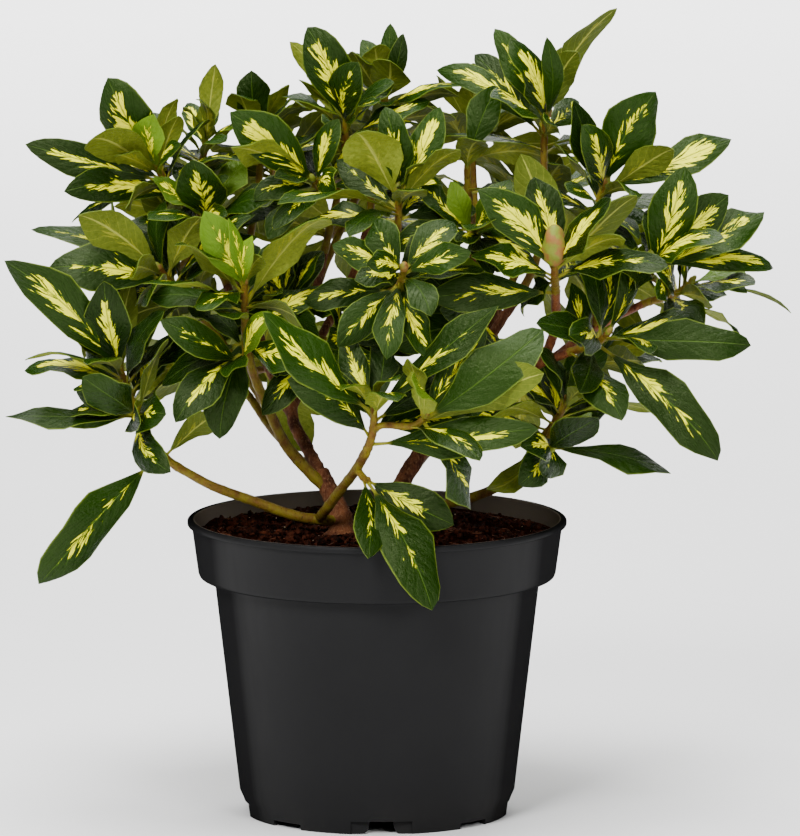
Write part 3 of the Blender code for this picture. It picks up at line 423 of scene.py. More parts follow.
work = bmesh.new()
soil_radius = wall_inside(SOIL_EDGE) - 0.5
bmesh.ops.create_circle(work, cap_ends=True, segments=SOIL_STEPS, radius=soil_radius * MM)
for _ in range(SOIL_RINGS):
    inner = [face for face in work.faces if len(face.verts) > 4]
    bmesh.ops.inset_region(work, faces=inner, thickness=soil_radius / (SOIL_RINGS + 1) * MM,
                           use_even_offset=True)
for corner in work.verts:
    x, y = corner.co.x / MM, corner.co.y / MM
    corner.co.z = soil_height(x, y) * MM
bottom = bmesh.ops.extrude_edge_only(work, edges=[edge for edge in work.edges
                                                  if edge.is_boundary])
low = [part for part in bottom["geom"] if isinstance(part, bmesh.types.BMVert)]
for corner in low:
    corner.co.z = (SOIL_EDGE - SOIL_DEPTH) * MM
bmesh.ops.contextual_create(work, geom=[edge for edge in work.edges if edge.is_boundary])
bmesh.ops.recalc_face_normals(work, faces=work.faces[:])

peat, tree, shader = new_material("potting_mix")
place = object_place(tree)
clod = grain(tree, place, 240.0, 8.0, 0.7)
fleck = ramp(tree, grain(tree, place, 520.0, 4.0, 0.6), 0.60, 0.68)
brown = blend_colours(tree, ramp(tree, clod, 0.3, 0.7), (0.002, 0.0007, 0.0004),
                      (0.030, 0.0070, 0.0031))
brown = blend_colours(tree, times(tree, fleck, 0.6), brown, (0.05, 0.012, 0.004))
tree.links.new(brown, shader.inputs["Base Color"])
shader.inputs["Roughness"].default_value = 0.95
shader.inputs["Specular IOR Level"].default_value = 0.0
bumped(tree, shader, clod, 0.9, 0.003)
soil = make_piece("potting_mix_surface", work, peat, "potting_mix")
smooth_faces(soil.data, 60)
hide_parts("potting_mix")


def soil_spot(edge):
    """A random place on the mix, clear of the pot's wall."""
    away = (soil_radius - edge) * math.sqrt(draw.random())
    angle = draw.uniform(0, 2 * math.pi)
    x, y = away * math.cos(angle), away * math.sin(angle)
    return Vector((x, y, soil_height(x, y)))


def new_group(name, inputs, outputs):
    """An effect that several materials share: the group and both ends of it."""
    group = bpy.data.node_groups.new(name, "ShaderNodeTree")
    for way, sockets in (("INPUT", inputs), ("OUTPUT", outputs)):
        for label, kind in sockets:
            group.interface.new_socket(label, in_out=way, socket_type=f"NodeSocket{kind}")
    given = group.nodes.new("NodeGroupInput").outputs
    result = group.nodes.new("NodeGroupOutput").inputs
    return group, given, result


# Two colours in soft patches
mottled, given, result = new_group(
    "mottled",
    [("Place", "Vector"), ("Scale", "Float"), ("Low", "Float"), ("High", "Float"),
     ("First", "Color"), ("Second", "Color")],
    [("Color", "Color")])
patches = ramp(mottled, grain(mottled, given["Place"], given["Scale"]), given["Low"],
               given["High"])
mottled.links.new(blend_colours(mottled, patches, given["First"], given["Second"]),
                  result["Color"])


def paint_mottled(tree, shader, scale, low, high, first, second):
    made = node(tree, "Group", [("Place", object_place(tree)), ("Scale", scale), ("Low", low),
                                ("High", high), ("First", first), ("Second", second)],
                node_tree=mottled)
    tree.links.new(made.outputs["Color"], shader.inputs["Base Color"])


def scattered(name, count, sizes, flat, colours, sunk):
    """Crumbs of many sizes, joined as one piece."""
    work = bmesh.new()
    bmesh.ops.create_icosphere(work, subdivisions=1, radius=0.5)
    crumb = bpy.data.meshes.new("crumb")
    work.to_mesh(crumb)
    work.free()
    smooth = [corner.co.copy() for corner in crumb.vertices]
    work = bmesh.new()
    for _ in range(count):
        size = sizes[0] + (sizes[1] - sizes[0]) * draw.random() ** 2.5
        spot = soil_spot(size + 1.5)
        turn = Matrix.Rotation(draw.uniform(0, 2 * math.pi), 4, Vector(
            (draw.uniform(-1, 1), draw.uniform(-1, 1), 1)).normalized())
        stretch = Matrix.Diagonal((1.0, draw.uniform(0.5, 1.0), flat * draw.uniform(0.6, 1), 1))
        shape = Matrix.Translation(spot + Vector((0, 0, size * sunk))) @ turn @ stretch
        for corner, plain in zip(crumb.vertices, smooth):
            dent = Vector([draw.uniform(-DENT, DENT) * size for _ in range(3)])
            corner.co = (shape @ (plain * size) + dent) * MM
        work.from_mesh(crumb)
    bpy.data.meshes.remove(crumb)
    material, tree, shader = new_material(name)
    paint_mottled(tree, shader, 260.0, 0.35, 0.65, *colours)
    shader.inputs["Roughness"].default_value = 0.8
    shader.inputs["Specular IOR Level"].default_value = 0.05
    bumped(tree, shader, grain(tree, object_place(tree), 900.0, 4.0), 0.5, 0.0008)
    return make_piece(name, work, material, "potting_mix")


scattered("peat_crumbs", CRUMBS, (0.9, 5.0), 0.8,
          ((0.003, 0.0012, 0.0007), (0.036, 0.0086, 0.0037)), 0.12)
scattered("bark_chips", CRUMBS // 5, (2.0, 6.5), 0.4,
          ((0.010, 0.0028, 0.0014), (0.058, 0.0140, 0.0056)), 0.1)
scattered("pale_flecks", FLECKS, (0.8, 2.2), 0.7, ((0.20, 0.14, 0.09), (0.42, 0.34, 0.25)), 0.3)

work = bmesh.new()
for _ in range(FIBRES):
    spot = soil_spot(9)
    length = draw.uniform(2, 7)
    made = bmesh.ops.create_cone(work, cap_ends=True, segments=4, radius1=0.24 * MM,
                                 radius2=0.12 * MM, depth=length * MM)
    lie = Matrix.Rotation(math.pi / 2 + draw.uniform(-0.35, 0.35), 3, "X")
    bmesh.ops.rotate(work, matrix=Matrix.Rotation(draw.uniform(0, 6.3), 3, "Z") @ lie,
                     verts=made["verts"])
    bmesh.ops.translate(work, vec=(spot + Vector((0, 0, 1.6))) * MM, verts=made["verts"])
root_fibre, tree, shader = new_material("bark_fibres")
paint_mottled(tree, shader, 90.0, 0.35, 0.65, (0.045, 0.012, 0.0045), (0.14, 0.040, 0.012))
shader.inputs["Roughness"].default_value = 0.75
make_piece("bark_fibres", work, root_fibre, "potting_mix")


# The stems fork just above the mix. Old wood is brown and flaking, the low and front boughs
# are still green-olive with leaf scars, and the right-hand shoots are reddish.
FLARE_REACH = 4.5
ROUTE_STEPS = 14
LIMB_SIDES = 14
KNUCKLE = 0.07
Limb = namedtuple("Limb", "name host points start end flare bark")
OLD_BARK = "old_bark"
GREEN_BARK = "green_bark"
RED_BARK = "red_bark"
# Each limb's bends in order, with the radius at its foot and at its tip
LIMBS = [
    Limb("trunk_left", None, [(-20, -25, 176), (-24, -20, 190), (-34.5, -10, 210)],
         7.0, 5.2, 7.0, OLD_BARK),
    Limb("stem_right", None, [(14, 0, 176), (14, 8, 197), (30, 20, 223), (47, 25, 252),
                              (66, 25, 283), (86, 18, 314)],
         6.0, 2.7, 5.5, OLD_BARK),
    Limb("bough_low_left", "trunk_left", [(-22, -26, 182), (-48, -31, 186), (-76, -32, 196),
                                          (-99, -34, 205), (-118, -32, 215)],
         3.3, 2.6, 0.0, GREEN_BARK),
    Limb("bough_front", "bough_low_left", [(-35, -28.5, 184), (-30, -44, 193),
                                           (-21, -59, 207.5), (-13, -76, 220.5),
                                           (-7, -90, 233)],
         3.1, 2.9, 0.0, GREEN_BARK),
    Limb("bough_upper_middle", "trunk_left", [(-34, -11, 208), (-43, 1, 224),
                                              (-51, 11, 240), (-50, 22, 268),
                                              (-40, 30, 302), (-32, 30, 338)],
         4.2, 2.4, 0.0, OLD_BARK),
    Limb("bough_front_left", "trunk_left", [(-30, -15, 200), (-43, -16, 213), (-55, -20, 228),
                                            (-65, -29, 250), (-71, -35, 265)],
         3.7, 2.9, 0.0, GREEN_BARK),
    Limb("bough_upper_left", "bough_upper_middle", [(-50, 10, 238), (-59, 22, 254),
                                                    (-71, 38, 285), (-86, 45, 331)],
         3.2, 2.5, 0.0, OLD_BARK),
    Limb("bough_left", "bough_front_left", [(-65, -29, 250), (-80, -18, 272),
                                            (-95, -8, 290), (-108, -8, 308)],
         2.8, 2.4, 0.0, GREEN_BARK),
    Limb("bough_middle", "bough_upper_middle", [(-50.5, 16, 254), (-34, 8, 280),
                                                (-14, -6, 308), (5, -22, 338)],
         2.9, 2.4, 0.0, GREEN_BARK),
    Limb("bough_low_right", "stem_right", [(15, 1, 184), (42, -8, 190), (64, -12, 197),
                                           (83, -14, 207), (92, -15, 221)],
         3.2, 2.5, 0.0, GREEN_BARK),
    Limb("bough_right", "stem_right", [(38, 23, 237), (68, 2, 260), (92, -14, 274),
                                       (116, -24, 285)],
         3.3, 2.6, 0.0, RED_BARK),
    Limb("bough_right_upright", "bough_right", [(100, -18, 278), (107, -38, 302),
                                                (107, -54, 326)],
         2.9, 2.8, 0.0, RED_BARK),
    Limb("bough_right_outer", "bough_right", [(108, -21, 282), (126, -8, 294), (143, -3, 303),
                                              (160, 4, 310)],
         2.7, 2.4, 0.0, RED_BARK),
    Limb("bough_right_middle", "stem_right", [(60, 25, 273), (60, 12, 300), (58, 2, 325),
                                              (58, -2, 345)],
         2.8, 2.3, 0.0, RED_BARK),
    Limb("bough_back_left", "bough_upper_left", [(-58.5, 21.5, 253), (-69, 52, 270),
                                                 (-82, 82, 288), (-92, 100, 308)],
         2.8, 2.4, 0.0, OLD_BARK),
    Limb("bough_back_middle", "bough_upper_middle", [(-51, 13.5, 246), (-38, 52, 276),
                                                     (-16, 88, 314), (-6, 100, 345)],
         2.9, 2.4, 0.0, OLD_BARK),
    Limb("bough_back_right", "stem_right", [(32, 21, 227), (48, 58, 252), (66, 88, 280),
                                            (80, 100, 305)],
         3.2, 2.5, 0.0, OLD_BARK),
    Limb("bough_back_low_left", "trunk_left", [(-23, -20, 192), (-42, 30, 206),
                                               (-64, 78, 222), (-78, 104, 238)],
         3.0, 2.4, 0.0, GREEN_BARK),
    Limb("bough_back_low_right", "stem_right", [(15, 8, 198), (30, 50, 212), (48, 88, 224),
                                                (66, 110, 240)],
         3.0, 2.4, 0.0, GREEN_BARK),
]


def smooth_route(points, steps):
    """Points along one smooth curve through the bends of a limb or twig."""
    bends = [Vector(point) for point in points]
    bends = [bends[0] * 2 - bends[1]] + bends + [bends[-1] * 2 - bends[-2]]
    route = []
    for first in range(len(bends) - 3):
        before, here, there, after = bends[first:first + 4]
        for step in range(steps):
            t = step / steps
            route.append(0.5 * (
                2 * here + (there - before) * t
                + (2 * before - 5 * here + 4 * there - after) * t ** 2
                + (3 * here - before - 3 * there + after) * t ** 3
            ))
    route.append(bends[-2])
    return route


def tube(work, route, radii, sides):
    """Add a round limb along a route to a bmesh, from a circle extruded along it."""
    ring = None
    for number, (place, radius) in enumerate(zip(route, radii)):
        before = route[max(number - 1, 0)]
        after = route[min(number + 1, len(route) - 1)]
        turn = Vector((0, 0, 1)).rotation_difference(after - before).to_matrix().to_4x4()
        seat = Matrix.Translation(place * MM) @ turn
        made = bmesh.ops.create_circle(work, segments=sides, radius=radius * MM, matrix=seat)
        here = made["verts"]
        edges = [edge for corner in here for edge in corner.link_edges]
        edges = list(dict.fromkeys(edges))
        if ring is not None:
            bmesh.ops.bridge_loops(work, edges=ring + edges)
        else:
            bmesh.ops.contextual_create(work, geom=edges)
        ring = edges
    bmesh.ops.contextual_create(work, geom=ring)


def limb_radius(limb, along, distance):
    flare = limb.flare * math.exp(-distance / FLARE_REACH)
    return limb.start + (limb.end - limb.start) * along + flare


def add_limb(work, limb):
    """One limb with knuckles at its old leaf scars and a rough bark."""
    route = smooth_route(limb.points, ROUTE_STEPS)
    if limb.host is None:
        route[0] = Vector(limb.points[0]) - Vector((0, 0, 1.5))
    radii = []
    gone = 0.0
    for number, place in enumerate(route):
        if number:
            gone += (place - route[number - 1]).length
        radius = limb_radius(limb, number / (len(route) - 1), gone)
        knuckle = max(0.0, math.sin(gone * 0.42 + len(limb.name))) ** 6
        radii.append(radius * (1 + KNUCKLE * knuckle))
    first = len(work.verts)
    tube(work, route, radii, LIMB_SIDES)
    work.verts.ensure_lookup_table()
    rough = 0.55 if limb.bark == OLD_BARK else 0.16
    middles = [place * MM for place in route]
    for corner in work.verts[first:]:
        near = min(middles, key=lambda middle: (middle - corner.co).length_squared)
        out = corner.co - near
        if out.length < 0.0004:
            continue
        flake = noise.noise(corner.co * 260) + 0.5 * noise.noise(corner.co * 800)
        corner.co += out.normalized() * flake * rough * MM


# Bark with fine cracks along it, blotches and pale scars
bark_relief, given, result = new_group(
    "bark_relief",
    [("Place", "Vector"), ("Dark", "Color"), ("Light", "Color"), ("Moss", "Color"),
     ("Crack", "Color"), ("Scar", "Float"), ("Rough", "Float"), ("Smooth", "Float")],
    [("Color", "Color"), ("Roughness", "Float"), ("Height", "Float")])
blotch = grain(bark_relief, given["Place"], 120.0, 5.0, 0.6)
crack = node(bark_relief, "Mapping", [("Vector", given["Place"]), ("Scale", (1.0, 1.0, 0.3))])
fine = grain(bark_relief, crack.outputs[0], 900.0, 6.0, 0.65)
colour = blend_colours(bark_relief, ramp(bark_relief, blotch, 0.3, 0.7), given["Dark"],
                       given["Light"])
scarred = times(bark_relief, ramp(bark_relief, fine, 0.52, 0.66), given["Scar"])
colour = blend_colours(bark_relief, scarred, colour, given["Moss"])
colour = blend_colours(bark_relief, ramp(bark_relief, fine, 0.42, 0.32), colour, given["Crack"])
bark_relief.links.new(colour, result["Color"])
bark_relief.links.new(ramp(bark_relief, fine, 0.3, 0.7, given["Rough"], given["Smooth"]),
                      result["Roughness"])
bark_relief.links.new(plus(bark_relief, fine, times(bark_relief, blotch, 0.6)),
                      result["Height"])


def bark_material(name, dark, light, moss, rough, scar):
    material, tree, shader = new_material(name)
    made = node(tree, "Group", [("Place", object_place(tree)), ("Dark", dark),
                                ("Light", light), ("Moss", moss),
                                ("Crack", [part * 0.35 for part in dark]), ("Scar", scar),
                                ("Rough", rough + 0.12), ("Smooth", rough - 0.08)],
                node_tree=bark_relief)
    tree.links.new(made.outputs["Color"], shader.inputs["Base Color"])
    tree.links.new(made.outputs["Roughness"], shader.inputs["Roughness"])
    shader.inputs["Specular IOR Level"].default_value = 0.2
    bumped(tree, shader, made.outputs["Height"], 0.8, 0.0014)
    return material


BARKS = {
    OLD_BARK: ((0.040, 0.010, 0.004), (0.15, 0.050, 0.018), (0.24, 0.12, 0.05), 0.82, 0.6),
    GREEN_BARK: ((0.085, 0.032, 0.003), (0.155, 0.125, 0.004), (0.17, 0.060, 0.009), 0.55, 0.4),
    RED_BARK: ((0.085, 0.016, 0.005), (0.21, 0.065, 0.018), (0.26, 0.12, 0.04), 0.55, 0.4),
}
barks = {}
for bark, (dark, light, moss, rough, scar) in BARKS.items():
    barks[bark] = bark_material(f"{bark}_relief", dark, light, moss, rough, scar)
    work = bmesh.new()
    held = [limb for limb in LIMBS if limb.bark == bark]
    for limb in held:
        add_limb(work, limb)
    bmesh.ops.recalc_face_normals(work, faces=work.faces[:])
    limbs = make_piece(f"{bark}_limbs", work, barks[bark], bark)
    smooth_faces(limbs.data, 70)
    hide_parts(*[limb.name for limb in held])


# Each mass of foliage branches from its limb into shoots by one rule. A shoot's bark is mottled
# olive and brown with reddish scars, and most end in a pointed bud.
TWIG_START = 2.3
TWIG_END = 2.1
TWIG_POINTS = 25
TWIG_SIDES = 8
Shoot = namedtuple("Shoot", "tip look leaves length bud held")
Mass = namedtuple("Mass", "name host seat shoots")

# A shoot has its tip, the way it looks, its number of leaves, their length and its bud, and
# then the leaves that stand out, each with its tip, width, drop below the bud and dress.
MASSES = [
    Mass("foliage_low_left", "bough_low_left", 1.0, [
        Shoot((-155, -28, 276), (-0.4, -0.4, 1), 7, 78, 0, [
            (-223, -50, 344, 28, 8, "streak"), (-163, -60, 333, 27, 4, "streak"),
            (-211, -50, 284, 18, 8, "under_edge"), (-147, -20, 328, 16, 6, "under"),
            (-127, -60, 315, 20, 12, "plain"), (-94, -45, 251, 22, 62, "under")]),
        Shoot((-146, -42, 250), (-0.8, -0.5, 0.6), 4, 70, 0, [
            (-223, -45, 249, 20, 4, "edge"), (-125, -58, 298, 14, 4, "under"),
            (-176, -65, 276, 27, 3, "plain"), (-126, -70, 254, 26, 10, "under")]),
        Shoot((-133, -36, 221), (-0.3, -0.8, -0.6), 0, 70, 0, [
            (-203, -64, 150, 33, 2, "fleck")]),
    ]),
    Mass("foliage_front_left", "bough_front_left", 1.0, [
        Shoot((-79, -58, 331), (0, -0.35, 1), 6, 56, 7, [
            (-103, -75, 377, 24, 4, "lime"), (-74, -80, 363, 14, 2, "lime"),
            (-28, -95, 375, 31, 15, "under"), (-119, -85, 358, 22, 8, "under"),
            (-139, -85, 335, 18, 12, "under_edge"), (-107, -90, 320, 24, 5, "under"),
            (-93, -92, 317, 21, 24, "under"), (-88, -84, 374, 11, 2, "lime")]),
        Shoot((-82, -62, 284), (-0.4, -0.6, 0.7), 4, 58, 4, [
            (-129, -85, 313, 22, 3, "fleck"), (-120, -90, 252, 25, 12, "fleck"),
            (-94, -70, 239, 25, 30, "plain")]),
    ]),
    Mass("foliage_left", "bough_left", 1.0, [
        Shoot((-130, -25, 335), (-0.5, -0.3, 0.8), 7, 72, 6, [
            (-178, -60, 373, 26, 5, "under"), (-197, -40, 338, 31, 10, "streak"),
            (-209, 10, 355, 16, 4, "under_edge")]),
        Shoot((-112, 22, 312), (-0.5, 0.5, 0.6), 6, 66, 0, []),
    ]),
    Mass("foliage_upper_left", "bough_upper_left", 1.0, [
        Shoot((-133, 8, 394), (-0.4, -0.2, 1), 7, 60, 6, [
            (-162, -5, 449, 32, 3, "bright"), (-212, 0, 408, 22, 12, "fleck"),
            (-172, -38, 415, 33, 6, "under"), (-188, -20, 382, 24, 30, "bright"),
            (-120, 0, 436, 12, 2, "under"), (-134, -14, 428, 20, 4, "lime")]),
        Shoot((-104, 45, 404), (0.1, 0.1, 1), 6, 54, 5, [
            (-98, 42, 452, 15, 1, "under"), (-106, 20, 432, 20, 3, "bright")]),
    ]),
    Mass("foliage_left_middle", "bough_upper_left", 0.72, [
        Shoot((-104, -8, 366), (-0.2, -0.5, 1), 7, 60, 5, [
            (-110, -35, 403, 32, 5, "streak"), (-137, -50, 369, 26, 9, "fleck")]),
    ]),
    Mass("foliage_upper_left_back", "bough_upper_left", 0.86, [
        Shoot((-72, 52, 410), (-0.1, 0.2, 1), 7, 60, 6, [
            (-76, 34, 449, 22, 3, "plain"), (-84, 16, 436, 20, 6, "plain")]),
        Shoot((-64, 100, 385), (-0.2, 0.7, 0.8), 7, 62, 6, []),
    ]),
    Mass("foliage_top", "bough_upper_middle", 1.0, [
        Shoot((-19, 16, 421), (0, -0.1, 1), 6, 60, 8, [
            (-42, 10, 478, 29, 3, "bright"), (-53, 34, 466.5, 16, 14, "under"),
            (-11, -10, 459, 24, 4, "streak"), (-53, -25, 438, 27, 9, "splash")]),
        Shoot((-38, -18, 388), (-0.3, -0.6, 0.8), 5, 60, 6, [
            (-88, -38, 432, 29, 6, "bright"), (-87, -55, 413, 24, 12, "under")]),
    ]),
    Mass("foliage_top_back", "bough_upper_middle", 0.85, [
        Shoot((5, 55, 432), (0.1, 0.1, 1), 7, 56, 7, [
            (8, 58, 475, 13, 1, "plain"), (16, 48, 470, 12, 2, "plain"),
            (-15, 32, 461, 20, 4, "under"), (54, 25, 441, 22, 9, "splash"),
            (8, 25, 456, 26, 5, "fleck"), (-2, 40, 463, 22, 3, "under")]),
    ]),
    Mass("foliage_middle", "bough_middle", 1.0, [
        Shoot((13, -42, 383), (0, -0.4, 1), 6, 60, 9, [
            (-12, -75, 424, 34, 5, "under"), (-59, -80, 382, 24, 12, "under"),
            (38, -35, 435, 22, 2, "bright"), (50, -60, 412, 20, 6, "under"),
            (5, -45, 436, 22, 3, "streak")]),
    ]),
    Mass("foliage_middle_front", "bough_middle", 0.7, [
        Shoot((16, -98, 345), (0.05, -0.8, 0.6), 5, 52, 8, [
            (-2, -85, 373, 22, 3, "fleck"), (46, -80, 371, 22, 4, "streak"),
            (56, -108, 357, 18, 6, "streak"), (-13, -122, 342, 18, 8, "splash"),
            (-43, -75, 322.5, 21, 40, "fleck"),
            (6, -125, 295, 19, 14, "streak"), (32, -113, 294, 20, 16, "splash")]),
    ]),
    Mass("foliage_inner_left", "bough_upper_middle", 0.45, [
        Shoot((-56, -22, 318), (-0.4, -0.6, 0.8), 6, 60, 0, []),
        Shoot((-22, -40, 296), (0.3, -0.8, 0.5), 6, 60, 0, [
            (26, -58, 330, 26, 4, "plain")]),
    ]),
    Mass("foliage_right_middle", "bough_right_middle", 1.0, [
        Shoot((55, -2, 400), (0.1, -0.1, 1), 7, 58, 7, [
            (73, 10, 442, 20, 3, "plain"), (62, -30, 414, 22, 8, "streak")]),
        Shoot((58, -52, 362), (0.1, -0.7, 0.7), 6, 52, 6, [
            (60, -100, 370, 23, 8, "splash"), (14, -62, 338, 26, 8, "plain")]),
    ]),
    Mass("foliage_top_right", "stem_right", 1.0, [
        Shoot((102, 16, 422), (0.1, 0, 1), 7, 58, 10, [
            (145, 25, 488, 17, 2, "under"), (71, 20, 476, 17, 2, "fleck"),
            (80, 0, 472, 24, 4, "bright"), (59, 40, 458, 19, 7, "fleck"),
            (111, 10, 466, 18, 1, "under"), (68, -20, 439, 29, 10, "bright"),
            (36, 35, 449, 18, 12, "splash"), (121, 4, 464, 18, 3, "under"),
            (102, -8, 474, 13, 2, "plain")]),
    ]),
    Mass("foliage_upper_right", "bough_right_outer", 0.5, [
        Shoot((137, 6, 382), (0.4, -0.2, 1), 6, 60, 8, [
            (168, 0, 440, 33, 3, "streak"), (214, 10, 410, 24, 2, "splash"),
            (178, -30, 409, 20, 5, "under"),
            (123, -20, 422, 24, 4, "splash"), (118, -12, 436, 24, 3, "plain")]),
    ]),
    Mass("foliage_right_front", "bough_right_upright", 1.0, [
        Shoot((106, -70, 346), (0, -0.25, 1), 6, 56, 23, [
            (94, -62, 396, 26, 3, "splash"), (86, -48, 408, 28, 6, "under"),
            (155, -70, 386, 30, 6, "under"), (139, -100, 388, 25, 5, "bright"),
            (173, -105, 348, 25, 12, "splash"), (56, -92, 352, 22, 12, "splash"),
            (60, -85, 391, 26, 8, "splash"), (148, -92, 362, 20, 6, "under"),
            (86, -42, 313, 24, 16, "plain"), (30, -72, 324, 24, 36, "fleck")]),
    ]),
    Mass("foliage_right", "bough_right_outer", 1.0, [
        Shoot((189, 12, 322), (0.7, 0, 0.8), 6, 60, 6, [
            (227, -30, 327, 26, 9, "streak"), (251, 18, 303, 11, 20, "edge")]),
        Shoot((164, -16, 341), (0.4, -0.3, 1), 6, 60, 7, [
            (208, -45, 357, 30, 6, "bright"), (234, 8, 366, 26, 10, "streak"),
            (212, -5, 378, 26, 5, "splash"), (185, -25, 398, 29, 12, "streak"),
            (240, 20, 330, 17, 5, "splash")]),
    ]),
    Mass("foliage_right_low", "bough_right", 1.0, [
        Shoot((138, -46, 299), (0.5, -0.5, 0.7), 5, 82, 6, [
            (224, -60, 294, 25, 4, "plain"), (204, -72, 226, 28, 12, "fleck"),
            (146, -95, 254, 26, 34, "streak"), (95, -98, 313, 22, 8, "plain")]),
    ]),
    Mass("foliage_low_right", "bough_low_right", 1.0, [
        Shoot((113, -14, 253), (0.2, -0.3, 1), 6, 60, 5, [
            (167, 0, 245, 19, 11, "under_edge"), (96, -45, 290, 18, 3, "plain")]),
        Shoot((104, -32, 226), (0.8, -0.5, 0.5), 3, 70, 5, [
            (177, -36, 213, 20, 7, "edge"), (133, -56, 250, 27, 4, "plain"),
            (99, -48, 214, 27, 18, "under"),
            (66, -36, 203, 22, 26, "under"), (85, -42, 207, 24, 24, "under")]),
    ]),
    Mass("foliage_front", "bough_front", 1.0, [
        Shoot((-2, -104, 266), (-0.1, -0.3, 1), 6, 66, 6, [
            (-67, -130, 324, 29, 7, "streak"), (-53, -125, 283, 28, 24, "fleck"),
            (72, -125, 327, 22, 6, "fleck"), (96, -128, 254, 25, 28, "fleck")]),
        Shoot((28, -118, 259), (0.5, -0.4, 0.8), 4, 74, 6, [
            (99, -140, 289, 24, 7, "under"), (99, -112, 311, 32, 5, "plain"),
            (19, -130, 296, 20, 1, "under"), (56, -92, 200, 26, 2, "fleck"),
            (65, -112, 312, 21, 5, "streak")]),
    ]),
    Mass("foliage_over_rim", "bough_front", 0.8, [
        Shoot((-5, -88, 217), (0.6, -0.7, 0.1), 0, 60, 0, [
            (33, -130.5, 145.4, 33, 2, "fleck"), (46, -95, 191, 27, 5, "fleck"),
            (-5, -127, 176, 21, 5, "fleck")]),
    ]),
    Mass("foliage_inner_right", "stem_right", 0.58, [
        Shoot((62, -20, 306), (0.3, -0.8, 0.6), 6, 66, 0, []),
    ]),
    Mass("foliage_back_low_left", "bough_back_low_left", 1.0, [
        Shoot((-108, 148, 262), (-0.6, 0.6, 0.7), 8, 76, 6, []),
        Shoot((-60, 172, 254), (0.2, 0.9, 0.6), 6, 70, 6, []),
    ]),
    Mass("foliage_back_left", "bough_back_left", 1.0, [
        Shoot((-118, 134, 342), (-0.6, 0.5, 0.8), 8, 72, 6, []),
        Shoot((-150, 66, 318), (-1, 0.2, 0.6), 7, 68, 6, []),
    ]),
    Mass("foliage_back_middle", "bough_back_middle", 1.0, [
        Shoot((-8, 130, 392), (0, 0.4, 1), 8, 64, 8, []),
        Shoot((-34, 165, 334), (-0.3, 0.9, 0.6), 7, 70, 6, []),
    ]),
    Mass("foliage_back_right", "bough_back_right", 1.0, [
        Shoot((92, 124, 362), (0.2, 0.4, 1), 8, 66, 8, []),
        Shoot((132, 122, 318), (0.8, 0.6, 0.6), 7, 70, 6, []),
    ]),
    Mass("foliage_back_low_right", "bough_back_low_right", 1.0, [
        Shoot((92, 160, 264), (0.5, 0.8, 0.6), 8, 74, 6, []),
        Shoot((134, 92, 264), (1, 0.1, 0.5), 6, 70, 6, []),
    ]),
    Mass("foliage_back_top_right", "bough_back_right", 0.75, [
        Shoot((58, 90, 408), (0, 0.4, 1), 8, 62, 8, []),
    ]),
]


def limb_place(name, share):
    """A point on a limb's middle line, the way it runs there and its radius."""
    limb = next(limb for limb in LIMBS if limb.name == name)
    route = smooth_route(limb.points, 2)
    lengths = [(there - here).length for here, there in zip(route, route[1:])]
    left = share * sum(lengths)
    for number, length in enumerate(lengths):
        if left <= length or number == len(lengths) - 1:
            break
        left -= length
    part = min(left / length, 1.0)
    place = route[number].lerp(route[number + 1], part)
    way = (route[number + 1] - route[number]).normalized()
    return place, way, limb.start + (limb.end - limb.start) * share


def twig_route(start, way, tip, look):
    """A twig leaves along its parent and turns to look the way its shoot does."""
    reach = (tip - start).length
    first = start + way * reach * 0.4
    last = tip - look * reach * 0.4
    route = []
    for number in range(TWIG_POINTS):
        t = number / (TWIG_POINTS - 1)
        route.append(start * (1 - t) ** 3 + first * 3 * t * (1 - t) ** 2
                     + last * 3 * t ** 2 * (1 - t) + tip * t ** 3)
    return route


def grow_twigs(mass):
    """The routes of a mass's twigs: the first from the seat, the others from the first."""
    place, way, radius = limb_place(mass.host, mass.seat)
    at_tip = mass.seat == 1.0
    start = place - way if at_tip else place
    twigs = []
    for number, shoot in enumerate(mass.shoots):
        tip = Vector(shoot.tip)
        look = Vector(shoot.look).normalized()
        if number == 0:
            leave = way if at_tip else (tip - start).normalized()
            thick = radius if at_tip else min(radius, TWIG_START)
            twigs.append((twig_route(start, leave, tip, look), thick))
        else:
            trunk = twigs[0][0]
            joint = trunk[8].lerp(trunk[16], 0.35 + 0.3 * (number % 2))
            leave = (trunk[16] - trunk[8]).normalized().lerp((tip - joint).normalized(), 0.6)
            twigs.append((twig_route(joint, leave, tip, look), TWIG_START * 0.85))
    return twigs


def along_twig(route, drop):
    """The point on a twig that lies a drop below its tip."""
    left = drop
    for number in range(len(route) - 1, 0, -1):
        length = (route[number] - route[number - 1]).length
        if left <= length:
            return route[number].lerp(route[number - 1], left / length)
        left -= length
    return route[0]


def add_bud(work, tip, look, size):
    """A fat pointed bud, wrapped in scales that show as low steps."""
    made = bmesh.ops.create_uvsphere(work, u_segments=14, v_segments=12, radius=size / 2 * MM)
    corners = made["verts"]
    for corner in corners:
        high = corner.co.z / (size / 2 * MM)
        angle = math.atan2(corner.co.y, corner.co.x)
        scale = 1 + 0.09 * math.sin(high * 9 + 2 * angle)
        corner.co.x *= 0.7 * scale
        corner.co.y *= 0.7 * scale
        if high > 0:
            corner.co.z += size * 0.16 * MM * high ** 3
    turn = Vector((0, 0, 1)).rotation_difference(look).to_matrix()
    bmesh.ops.rotate(work, matrix=turn, verts=corners)
    bmesh.ops.translate(work, vec=(tip + look * 0.38 * size) * MM, verts=corners)


